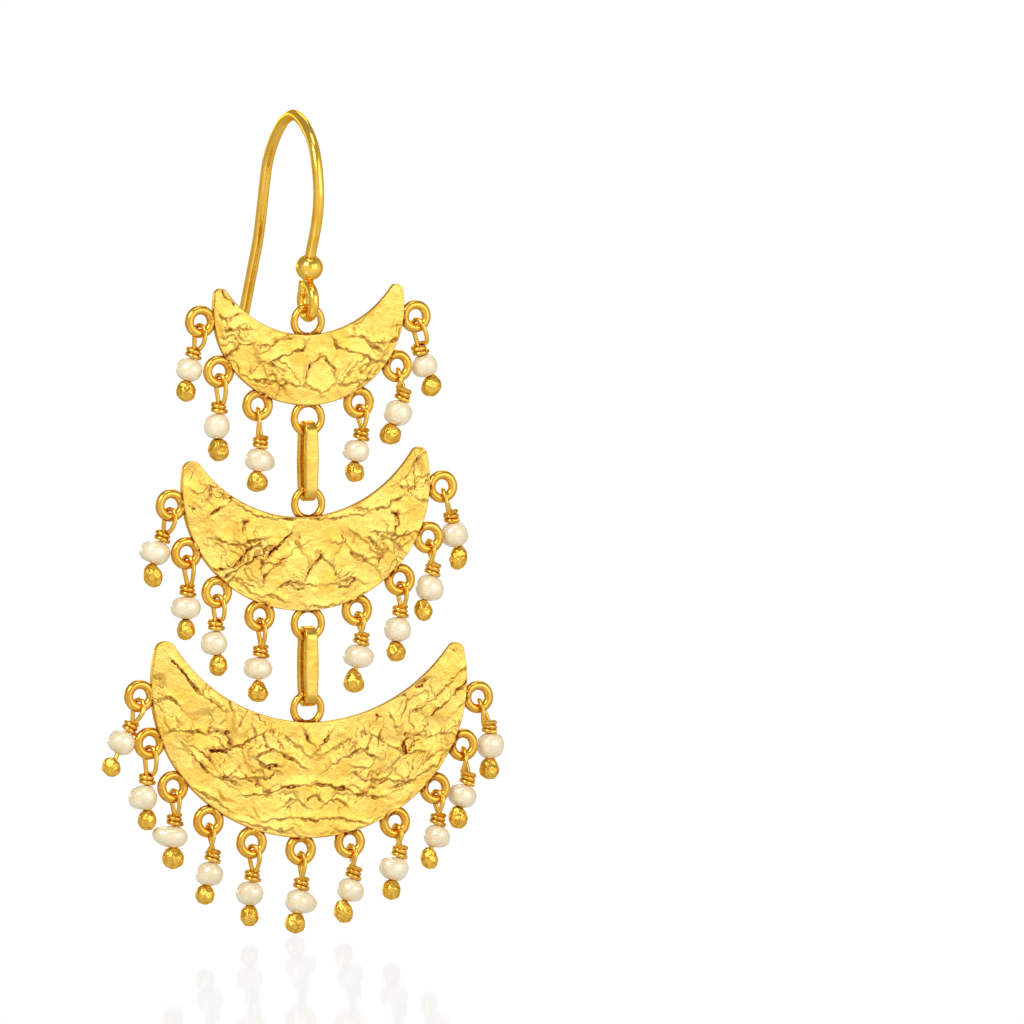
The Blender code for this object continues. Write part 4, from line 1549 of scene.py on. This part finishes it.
    def make_plate(self, wardrobe: Wardrobe) -> None:
        """Builds and dresses the plate, whose rear face has half as many rows.

        Args:
            wardrobe: the finishes.
        """
        lower, upper = self.edge_chains()
        points, shade_and_tarnish, faces, grids = [], [], [], []
        for back, cells in ((False, 1), (True, 2)):
            grid, dark = self.plate_face(lower, upper, back, int(self.depth / self.cell / cells))
            stations, columns = dark.shape
            first = len(points)
            number = first + np.arange(stations * columns).reshape(stations, columns)
            points += list(grid.reshape(-1, 3))
            shade_and_tarnish += list(dark.ravel())
            a, b = number[:-1, :-1], number[1:, :-1]
            c, d = number[1:, 1:], number[:-1, 1:]
            order = (a, d, c, b) if back else (a, b, c, d)
            faces += np.stack(order, axis=-1).reshape(-1, 4).tolist()
            grids.append(number)
        front, rear = grids
        for column in (0, -1):
            one, two = front[:, column], rear[:, column]
            quads = np.stack((one[:-1], two[:-1], two[1:], one[1:]), axis=-1)
            faces += (quads if column == 0 else quads[:, ::-1]).tolist()
        places = [self.lay((p[0], p[2]), p[1]) for p in points]
        plate = mesh_piece(f"crescent_plate_{self.name}", places, faces)
        # Painted shade and tarnish in the creases and at the terrace steps.
        store_shade_and_tarnish(plate, shade_and_tarnish)
        faces_out(plate)
        wardrobe.dress(plate, "plate", self.body, [f"crescent_{self.name}"])

    def make_rings(self, tree: RingTree, wardrobe: Wardrobe) -> None:
        """Builds and dresses the rings soldered to the plate.

        Args:
            tree: the rings' tree.
            wardrobe: the finishes.
        """
        lower, upper = self.edge_chains()
        cx, cz = self.bowl_centre()
        edge = [self.lay((p[0] + cx, p[1] + cz)) for p in np.r_[lower, upper]]
        rows = (("edge_rings", self.ring_centres(), self.edge_radius + self.edge_extra / 2,
                 self.edge_wire + self.edge_extra),
                ("middle_rings", self.tier_ring_centres(), self.tier_radius - self.tier_extra / 2,
                 self.tier_wire + self.tier_extra))
        for label, centres, radius, wire in rows:
            rings = tree.grow(f"{label}_{self.name}", host_mesh(centres, []), wardrobe.materials["ring"],
                              Ring_Radius=radius, Wire_Radius=wire / 2, Seed=self.seed)
            # Painted contact shade with a dark solder seam where the rings meet the plate's edge.
            seam_shade_near(rings, edge, self.seam_shade_reach)
            wardrobe.dress(rings, "ring", self.body, [f"crescent_{self.name}"])


def line_gap(x: np.ndarray, z: np.ndarray, line: Sequence[Pair]) -> Tuple[np.ndarray, np.ndarray]:
    """Distance to a line of straight runs, and the side a place lies on.

    Args:
        x: places across.
        z: places up.
        line: the line's points.

    Returns:
        The distances, and 1 above the line or 0 below it.
    """
    gap, above = np.full(x.shape, 1.0), np.zeros(x.shape)
    for (ax, az), (bx, bz) in zip(line, line[1:]):
        rx, rz = bx - ax, bz - az
        share = np.clip(((x - ax) * rx + (z - az) * rz) / (rx * rx + rz * rz), 0.0, 1.0)
        far = np.hypot(x - ax - rx * share, z - az - rz * share)
        side = ((z - az) * rx - (x - ax) * rz) * math.copysign(1.0, rx)
        above = np.where(far < gap, side > 0, above)
        gap = np.minimum(gap, far)
    return gap, above


def edge_finder(edge: Sequence[Sequence[float]]) -> kdtree.KDTree:
    """A finder of the nearest of some points, given across, back and up.

    Args:
        edge: the points.

    Returns:
        The finder, which leaves out how far back they lie.
    """
    finder = kdtree.KDTree(len(edge))
    for i, point in enumerate(edge):
        finder.insert((point[0], 0.0, point[-1]), i)
    finder.balance()
    return finder


def outline_gap(x: np.ndarray, z: np.ndarray, outline: np.ndarray) -> np.ndarray:
    """Distance of each place to the nearest point of an outline.

    Args:
        x: places across.
        z: places up.
        outline: the outline's points.

    Returns:
        The distances.
    """
    finder = edge_finder(outline)
    flat = [finder.find((a, 0.0, b))[2] for a, b in zip(x.ravel(), z.ravel())]
    return np.array(flat).reshape(x.shape)


def store_shade_and_tarnish(piece: bpy.types.Object, values: Sequence[float]) -> None:
    """Keeps the painted shade and tarnish of each vertex on the piece.

    Args:
        piece: the piece.
        values: one number for each vertex.
    """
    stored = piece.data.attributes.get(SHADE_AND_TARNISH) or piece.data.attributes.new(SHADE_AND_TARNISH, "FLOAT", "POINT")
    stored.data.foreach_set("value", np.array(values, np.float32))


def seam_shade_near(piece: bpy.types.Object, edge: Sequence[Vector], reach: float,
               fall: float = 1.5) -> None:
    """Darkens a piece where it comes near an edge: a dark solder seam with painted contact shade.

    Args:
        piece: the piece.
        edge: points of the edge.
        reach: how far the darkening goes.
        fall: how soon it fades.
    """
    finder = edge_finder(edge)
    gaps = [finder.find((v.co.x, 0.0, v.co.z))[2] for v in piece.data.vertices]
    store_shade_and_tarnish(piece, [max(0.0, 1.0 - gap / reach) ** fall for gap in gaps])


# Links


@dataclass
class StrapLink:
    """A flat strap bent into a long closed link round two ring wires."""

    name: str
    body: Body
    upper: Vector
    ring_wire: float = 0.62 * MM
    pitch: float = 5.08 * MM
    thickness: float = 0.60 * MM
    width: float = 1.28 * MM
    room: float = 0.215 * MM
    corner: float = 0.19 * MM
    waist: float = 0.94
    swelling: float = 0.12
    corner_steps: int = 5
    bend_steps: int = 28
    side_steps: int = 24
    wear: float = 0.018 * MM
    wear_width: float = 1500.0
    wear_step: float = 0.13
    wear_rise: float = 900.0
    wear_layer: float = 3.0

    def section(self) -> List[Pair]:
        """The strap's section: across, and out from its middle."""
        half_w, half_t = self.width / 2 - self.corner, self.thickness / 2 - self.corner
        points = []
        for sx, sz, first in ((1, 1, 0), (-1, 1, 90), (-1, -1, 180), (1, -1, 270)):
            for i in range(self.corner_steps + 1):
                a = math.radians(first + 90 * i / self.corner_steps)
                points.append((sx * half_w + self.corner * math.cos(a),
                               sz * half_t + self.corner * math.sin(a)))
        return points

    def make(self, wardrobe: Wardrobe) -> None:
        """Builds and dresses the link.

        Args:
            wardrobe: the finishes.
        """
        bend = self.ring_wire / 2 + self.room + self.thickness / 2
        lower = self.upper - Vector((0.0, 0.0, self.pitch))
        rings, stops = [], []
        for centre, other, first in ((self.upper, lower, 0.0), (lower, self.upper, math.pi)):
            stops += [(centre, first + math.pi * i / self.bend_steps, 0.0)
                      for i in range(self.bend_steps + 1)]
            for share in (i / self.side_steps for i in range(1, self.side_steps)):
                stops.append((centre.lerp(other, share), first + math.pi, math.sin(math.pi * share)))
        for n, (centre, angle, along) in enumerate(stops):
            out = Vector((0.0, math.cos(angle), math.sin(angle)))
            spot = Vector((n * self.wear_step, self.upper.z * self.wear_rise, self.wear_layer))
            worn = self.wear * noise.noise(spot)
            wide = self.waist + worn * self.wear_width + self.swelling * along
            rings.append([centre + out * (bend + t + worn) + Vector((w * wide, 0.0, 0.0))
                          for w, t in self.section()])
        link = mesh_piece(f"strap_{self.name}", *band(rings, True))
        faces_out(link)
        wardrobe.dress(link, "strap", self.body, [self.name])


# The studio


@dataclass
class SoftBox:
    """One area light: where it hangs, how large and how bright it is."""

    name: str
    azimuth: float
    elevation: float
    distance: float
    size: Pair
    power: float


@dataclass
class Studio:
    """Pale floor, soft lights and the camera at the photograph's angle."""

    aim: Sequence[float] = (20.04 * MM, -3.4 * MM, -36.05 * MM)
    middle_height: float = -36.0 * MM
    azimuth: float = -22.0
    elevation: float = 4.0
    view_width: float = 93.26 * MM
    floor_height: float = -74.12 * MM
    floor_half: float = 5.0
    ceiling: float = 0.40
    front_wall: float = 0.85
    rear_wall: float = 0.45
    strip: float = 1.80
    card_front: float = 0.95
    card_rear: float = 0.55
    sheen: float = 0.08
    sheen_roughness: float = 0.05
    seen_wall: float = 1.06
    seen_floor: float = 0.955
    tint: Colour = (1.0, 0.985, 0.96)
    camera_distance: float = 0.5
    clipping: Pair = (0.01, 30.0)
    boxes: Sequence[SoftBox] = (
        SoftBox("key_box", 26.0, 14.0, 0.75, (0.60, 0.48), 1.30),
        SoftBox("fill_box", -52.0, 38.0, 0.80, (0.34, 0.34), 2.60),
        SoftBox("top_box", 0.0, 75.0, 0.80, (0.40, 0.30), 0.80),
        SoftBox("rear_box", 150.0, 45.0, 0.90, (0.40, 0.40), 1.00),
    )

    @staticmethod
    def way(azimuth: float, elevation: float) -> Vector:
        """The way from the earring to something seen at those angles, in degrees."""
        a, e = math.radians(azimuth), math.radians(elevation)
        return Vector((math.sin(a) * math.cos(e), -math.cos(a) * math.cos(e), math.sin(e)))

    def make_camera(self) -> None:
        """The camera, which draws nothing smaller far off, as a very long lens does."""
        data = bpy.data.cameras.new("camera")
        data.type = "ORTHO"
        data.ortho_scale = self.view_width
        data.clip_start, data.clip_end = self.clipping
        camera = linked("camera", data)
        back = self.way(self.azimuth, self.elevation)
        camera.rotation_mode = "QUATERNION"
        camera.location = Vector(self.aim) + back * self.camera_distance
        camera.rotation_quaternion = (-back).to_track_quat("-Z", "Y")
        bpy.context.scene.camera = camera

    def make_lights(self) -> None:
        """The soft boxes round the earring."""
        middle = Vector((0.0, 0.0, self.middle_height))
        for box in self.boxes:
            data = bpy.data.lights.new(box.name, "AREA")
            data.shape = "RECTANGLE"
            data.size, data.size_y = box.size
            data.energy = box.power
            light = linked(box.name, data)
            way = self.way(box.azimuth, box.elevation)
            light.location = middle + way * box.distance
            light.rotation_mode = "QUATERNION"
            light.rotation_quaternion = way.to_track_quat("Z", "Y")

    def make_world(self) -> None:
        """A room of grey walls with a bright strip low behind the earring, for the table's sheen."""
        world = bpy.data.worlds.new("room")
        bpy.context.scene.world = world
        world.use_nodes = True
        wiring = Wiring(world.node_tree)
        back = world.node_tree.nodes["Background"]
        place = wiring.add("ShaderNodeTexCoord").outputs["Generated"]
        parts = wiring.add("ShaderNodeSeparateXYZ", {0: place})
        away, up = parts.outputs["Y"], parts.outputs["Z"]
        walls = wiring.spread(away, -0.30, 0.35, out_low=self.front_wall, out_high=self.rear_wall)
        rise = wiring.spread(up, 0.15, 0.85, out_low=walls, out_high=self.ceiling)
        rear = wiring.spread(away, 0.55, 0.80)
        low = wiring.spread(up, 0.14, 0.24, out_low=self.strip, out_high=0.0)
        glow = wiring.sum("MAXIMUM", rise, wiring.sum("MULTIPLY", rear, low))
        wiring.fill(back, {"Strength": wiring.seen_or(self.seen_wall, glow),
                           "Color": (*self.tint, 1.0)})

    def make_floor(self) -> None:
        """The pale lit table with a faint sheen that mirrors what hangs just above it."""
        half, height = self.floor_half, self.floor_height
        square = [(x * half, y * half, height) for x, y in ((-1, -1), (1, -1), (1, 1), (-1, 1))]
        floor = mesh_piece("floor", square, [(0, 1, 2, 3)], smooth=False)
        material = bpy.data.materials.new("pale_floor")
        material.use_nodes = True
        tree = material.node_tree
        tree.nodes.remove(tree.nodes["Principled BSDF"])
        wiring = Wiring(tree)
        place = wiring.add("ShaderNodeTexCoord").outputs["Object"]
        depth = wiring.add("ShaderNodeSeparateXYZ", {0: place}).outputs["Y"]
        card = wiring.spread(depth, -0.20, 0.15, out_low=self.card_front, out_high=self.card_rear)
        lit = wiring.add("ShaderNodeEmission", {"Strength": wiring.seen_or(self.seen_floor, card)})
        gloss = wiring.add("ShaderNodeBsdfGlossy", {"Color": (1.0, 1.0, 1.0, 1.0),
                                                    "Roughness": self.sheen_roughness})
        mixed = wiring.add("ShaderNodeMixShader", {0: self.sheen, 1: lit.outputs[0], 2: gloss.outputs[0]})
        tree.links.new(mixed.outputs[0], tree.nodes["Material Output"].inputs["Surface"])
        floor.data.materials.append(material)

    def make(self) -> None:
        """Sets up the whole studio, with colours shown as they are."""
        bpy.context.scene.view_settings.view_transform = "Standard"
        self.make_camera()
        self.make_lights()
        self.make_world()
        self.make_floor()


# What this earring's crescents are like


SMALL_CREASES = (
    Crease(((0.0, 0.688), (0.055, 0.640), (0.105, 0.560), (0.160, 0.400)), 1.0, 0.75, 0.8, 1.0, 0.8),
    Crease(((0.0, 0.150), (0.085, 0.235), (0.185, 0.315)), 0.6, 0.35, 0.6, 1.0, 0.6),
    Crease(((0.14, 0.91), (0.18, 0.80), (0.31, 0.76), (0.43, 0.70), (0.56, 0.62)),
           0.9, 0.65, 0.8, 1.0, 0.8),
    Crease(((0.32, 0.96), (0.45, 0.95), (0.56, 0.80), (0.62, 0.76)), 0.9, 0.60, 0.8, 1.1, 0.8),
    Crease(((0.42, 0.52), (0.52, 0.60), (0.64, 0.62), (0.70, 0.54)), 0.9, 0.70, 0.8, 1.1, 0.5),
    Crease(((0.52, 0.44), (0.58, 0.42), (0.60, 0.56)), 0.8, 0.70, 0.7, 1.0, 0.4),
    Crease(((0.72, 0.90), (0.86, 0.88), (0.98, 0.70)), 0.9, 0.50, 0.9, 1.2, 0.8),
    Crease(((0.76, 1.10), (0.90, 1.12), (1.02, 1.10)), 0.8, 0.45, 0.8, 1.0, 0.7),
    Crease(((0.88, 1.30), (1.00, 1.22), (1.06, 1.32)), 0.7, 0.35, 0.7, 1.0, 0.5),
    Crease(((0.40, 0.36), (0.52, 0.34), (0.70, 0.36), (0.82, 0.44)), 0.7, 0.40, 0.7, 1.0, 0.6),
    Crease(((0.22, 0.28), (0.32, 0.31), (0.42, 0.28), (0.46, 0.14)), 0.6, 0.35, 0.6, 1.0, 0.8),
)

MEDIUM_CREASES = (
    Crease(((0.0, 0.580), (0.055, 0.510), (0.100, 0.440), (0.128, 0.360)), 1.0, 0.80, 0.8, 1.0, 0.9),
    Crease(((0.07, 0.27), (0.14, 0.27), (0.21, 0.31), (0.29, 0.30), (0.34, 0.26)),
           0.8, 0.50, 0.8, 1.0, 0.8),
    Crease(((0.24, 0.84), (0.30, 0.76), (0.38, 0.68), (0.46, 0.55)), 1.1, 0.95, 0.8, 1.5, 0.35),
    Crease(((0.25, 0.60), (0.37, 0.50), (0.45, 0.40), (0.47, 0.34)), 0.9, 0.75, 0.8, 1.2, 0.5),
    Crease(((0.50, 0.74), (0.60, 0.66), (0.70, 0.50), (0.86, 0.48)), 1.0, 0.80, 0.8, 1.2, 0.4),
    Crease(((0.50, 0.62), (0.64, 0.50), (0.78, 0.40)), 0.8, 0.60, 0.7, 1.0, 0.4),
    Crease(((0.44, 0.80), (0.57, 0.78), (0.64, 0.72), (0.82, 0.80)), 0.9, 0.55, 0.8, 1.0, 0.7),
    Crease(((0.02, 0.965), (0.20, 0.985), (0.36, 1.00), (0.52, 1.06), (0.66, 1.16)),
           0.7, 0.55, 0.7, 0.9, 0.8),
    Crease(((0.78, 1.16), (0.89, 1.07)), 1.0, 0.90, 0.7, 1.3, 0.5),
    Crease(((0.66, 1.26), (0.76, 1.24), (0.80, 1.30)), 0.8, 0.70, 0.7, 1.1, 0.7),
    Crease(((0.10, 0.72), (0.22, 0.66), (0.30, 0.52)), 0.5, 0.25, 0.6, 1.0, 1.0),
    Crease(((0.40, 0.72), (0.49, 0.62), (0.48, 0.48)), 0.9, 0.45, 0.8, 1.3, 1.2),
    Crease(((0.80, 1.34), (0.88, 1.38), (0.98, 1.28), (1.02, 1.34)), 0.6, 0.30, 0.6, 1.0, 0.8),
    Crease(((0.0, 0.02), (0.06, 0.04), (0.11, 0.02)), 0.8, 0.70, 0.5, 1.1, 1.0),
    Crease(((0.30, 0.12), (0.42, 0.18), (0.55, 0.20), (0.66, 0.32)), 0.6, 0.30, 0.7, 1.0, 0.9),
)

LARGE_CREASES = (
    Crease(((0.0, 0.755), (0.045, 0.820), (0.085, 0.905)), 1.0, 0.75, 0.8, 1.0, 1.0),
    Crease(((0.05, 0.72), (0.14, 0.80), (0.20, 0.87)), 0.7, 0.35, 0.7, 1.0, 0.9),
    Crease(((0.07, 0.60), (0.17, 0.69), (0.28, 0.76), (0.38, 0.70)), 0.9, 0.50, 0.8, 1.0, 1.0),
    Crease(((0.0, 0.455), (0.10, 0.450), (0.20, 0.420), (0.30, 0.375), (0.43, 0.360)),
           1.0, 0.60, 0.8, 1.0, 1.0),
    Crease(((0.0, 0.370), (0.04, 0.330)), 0.9, 0.45, 0.7, 0.9, 1.0),
    Crease(((0.06, 0.28), (0.14, 0.34), (0.20, 0.28)), 0.7, 0.40, 0.7, 0.9, 1.0),
    Crease(((0.0, 0.160), (0.16, 0.175), (0.32, 0.140)), 0.8, 0.45, 0.8, 1.0, 1.0),
    Crease(((0.20, 0.060), (0.34, 0.085), (0.47, 0.135)), 0.7, 0.40, 0.7, 1.0, 0.8),
    Crease(((0.46, 1.07), (0.49, 0.96)), 0.8, 0.60, 0.7, 1.0, 0.8),
    Crease(((0.25, 0.62), (0.33, 0.60), (0.38, 0.68)), 1.1, 0.95, 0.7, 1.4, 0.7),
    Crease(((0.35, 0.90), (0.46, 0.80), (0.60, 0.74), (0.68, 0.76)), 0.8, 0.50, 0.8, 1.0, 0.6),
    Crease(((0.58, 0.72), (0.62, 0.75), (0.67, 0.76)), 1.2, 0.80, 0.6, 1.3, 0.3),
    Crease(((0.50, 0.46), (0.62, 0.50), (0.74, 0.62)), 0.8, 0.50, 0.8, 1.0, 0.8),
    Crease(((0.37, 0.52), (0.50, 0.50), (0.61, 0.51)), 0.8, 0.55, 0.8, 1.0, 0.8),
    Crease(((0.72, 0.60), (0.79, 0.69)), 0.8, 0.60, 0.7, 1.0, 0.7),
    Crease(((0.70, 0.88), (0.82, 0.92), (0.94, 0.90)), 0.8, 0.50, 0.8, 1.0, 0.7),
    Crease(((0.61, 1.11), (0.74, 1.22), (0.86, 1.40), (0.93, 1.50)), 0.8, 0.60, 0.8, 1.0, 0.6),
    Crease(((0.47, 0.62), (0.58, 0.78), (0.72, 1.06), (0.94, 1.38)), 0.9, 0.60, 0.9, 1.0, 1.0, 0.0),
    Crease(((0.88, 1.12), (0.94, 1.20), (1.02, 1.16)), 0.7, 0.40, 0.7, 1.0, 0.7),
    Crease(((0.55, 0.24), (0.66, 0.34), (0.78, 0.40)), 0.7, 0.40, 0.7, 1.0, 0.9),
)

SMALL_DROPS = (
    Drop(-84.0, 1.12, -1, 24, -12, 0.94, 0.95, 0.97, -0.03, 0.03, 120, 1.02, 0.96),
    Drop(-56.0, 1.05, 10, 20, 0, 1.08, 0.92, 1.08, -0.07, 0.02, 60, 1.10, 1.04),
    Drop(-28.0, 0.94, 7, -18, -5, 1.13, 0.98, 0.98, 0.00, 0.24, -25, 1.05, 0.96, 0.0, 0.28),
    Drop(29.0, 0.96, 19, 22, -10, 0.98, 0.95, 0.94, -0.09, 0.03, 200, 0.99, 0.94),
    Drop(57.0, 1.02, 19, -15, -19, 0.96, 1.01, 1.06, 0.03, 0.04, 20, 1.11, 0.96),
    Drop(84.5, 1.13, 16, 22, 20, 1.02, 0.95, 0.95, 0.00, 0.03, 90, 1.03, 1.00),
)

MEDIUM_DROPS = (
    Drop(-84.0, 1.00, -4, 24, -15, 0.93, 1.08, 0.98, -0.12, 0.03, 180, 0.96, 1.10),
    Drop(-63.0, 0.98, 12, 20, -2, 1.12, 1.08, 0.95, -0.04, 0.03, 0, 0.95, 0.99),
    Drop(-42.0, 1.03, 9, 24, 4, 0.98, 0.95, 1.02, -0.11, 0.03, 240, 0.94, 1.00),
    Drop(-21.0, 0.97, 10, 8, -4, 1.08, 1.02, 0.93, -0.07, 0.03, 0, 0.99, 1.00, 0.06, 0.34),
    Drop(21.5, 0.93, 21, 6, -11, 0.94, 1.08, 0.97, 0.02, 0.03, 180, 1.02, 1.10, 0.08, 0.36),
    Drop(43.5, 0.96, 13, 18, -6, 0.96, 0.95, 1.05, -0.03, 0.03, -30, 0.99, 0.94),
    Drop(64.5, 0.99, 19, 4, -14, 1.02, 1.02, 1.08, 0.06, 0.02, 90, 0.92, 0.99),
    Drop(86.0, 1.17, 20, -18, 11, 0.99, 0.98, 1.05, -0.02, 0.03, 0, 0.92, 1.10),
)

LARGE_DROPS = (
    Drop(-84.5, 1.00, -4, 24, -27, 0.95, 0.99, 1.00, -0.05, 0.02, 150, 0.95, 0.90, 0.26),
    Drop(-68.0, 1.02, 6, 26, 1, 1.06, 1.04, 1.06, -0.15, 0.03, 0, 0.96, 0.98),
    Drop(-51.0, 1.07, 13, 12, -2, 1.00, 1.10, 0.93, -0.05, 0.40, 165, 1.11, 1.00),
    Drop(-34.0, 1.09, 16, 2, -12, 1.09, 0.95, 1.01, 0.04, 0.13, 212, 0.99, 0.91),
    Drop(-17.5, 1.07, 14, 24, -4, 1.00, 0.98, 1.01, -0.05, 0.02, 200, 0.93, 0.98),
    Drop(-0.5, 0.94, 9, 2, -9, 1.04, 1.02, 1.03, 0.03, 0.32, -12, 1.07, 0.93),
    Drop(16.5, 0.82, 19, 4, -16, 0.99, 0.98, 0.95, 0.07, 0.03, -40, 0.97, 1.07),
    Drop(33.5, 0.80, 21, 4, -13, 0.96, 1.02, 0.99, -0.06, 0.16, 150, 0.95, 0.91),
    Drop(51.5, 0.83, 20, 20, -13, 0.98, 0.95, 0.93, 0.12, 0.04, 60, 0.88, 1.00, 0.06),
    Drop(69.0, 0.91, 15, -12, -15, 1.08, 1.02, 0.97, -0.05, 0.03, 160, 0.99, 1.03),
    Drop(86.0, 1.14, 26, -18, 0, 1.04, 0.96, 1.07, 0.04, 0.14, 45, 1.02, 1.00),
)


@dataclass
class Earring:
    """The whole earring, from the ear seat down."""

    hook: EarHook = field(default_factory=EarHook)
    drops: DropMaker = field(default_factory=DropMaker)
    play: float = 0.10 * MM

    def tiers(self) -> Tuple[List[Crescent], List[StrapLink]]:
        """The crescents and links, each hung on the one above."""
        rows = (
            ("small", Body.SMALL, (18.76, 17.82, 10.00, 6.48), (-0.4, 0.0, 0.85, 0.75, 0.130, 11),
             SMALL_CREASES, SMALL_DROPS),
            ("medium", Body.MEDIUM, (24.36, 23.16, 12.78, 8.58), (1.3, -0.011, 1.2, 1.0, 0.105, 23),
             MEDIUM_CREASES, MEDIUM_DROPS),
            ("large", Body.LARGE, (31.00, 28.40, 16.59, 10.62), (-2.3, 0.0, 1.3, 1.0, 0.060, 37),
             LARGE_CREASES, LARGE_DROPS),
        )
        links = (("link_upper", Body.UPPER_LINK), ("link_lower", Body.LOWER_LINK))
        top = (self.hook.wire + Crescent.tier_wire) / 2 + self.play - self.hook.drop
        hang = Vector((0.0, -self.hook.set_back, top))
        crescents, straps = [], []
        for i, (name, body, sizes, traits, creases, drops) in enumerate(rows):
            tier = Crescent(name, body, hang, *(size * MM for size in sizes), *traits,
                            i < len(links), creases, drops)
            crescents.append(tier)
            if i < len(links):
                back = Vector((0.0, tier.ring_back, 0.0))
                strap = StrapLink(*links[i], tier.low_wire() + back)
                straps.append(strap)
                hang = strap.upper - Vector((0.0, 0.0, strap.pitch)) - back
        return crescents, straps

    def make(self) -> None:
        """Builds and dresses every piece."""
        wardrobe = Wardrobe()
        wires, rings, nuggets = WireTree(), RingTree(), NuggetTree()
        self.hook.make(wires, wardrobe)
        crescents, straps = self.tiers()
        for tier in crescents:
            tier.make_plate(wardrobe)
            tier.make_rings(rings, wardrobe)
            self.drops.make(tier, wires, nuggets, wardrobe)
        for strap in straps:
            strap.make(wardrobe)


def main() -> None:
    """Loads the frame, dresses it and sets up the studio."""
    logging.basicConfig(level=logging.INFO, format="%(name)s: %(message)s", stream=sys.stdout)
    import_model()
    Studio().make()
    Earring().make()


if __name__ == "__main__":
    main()
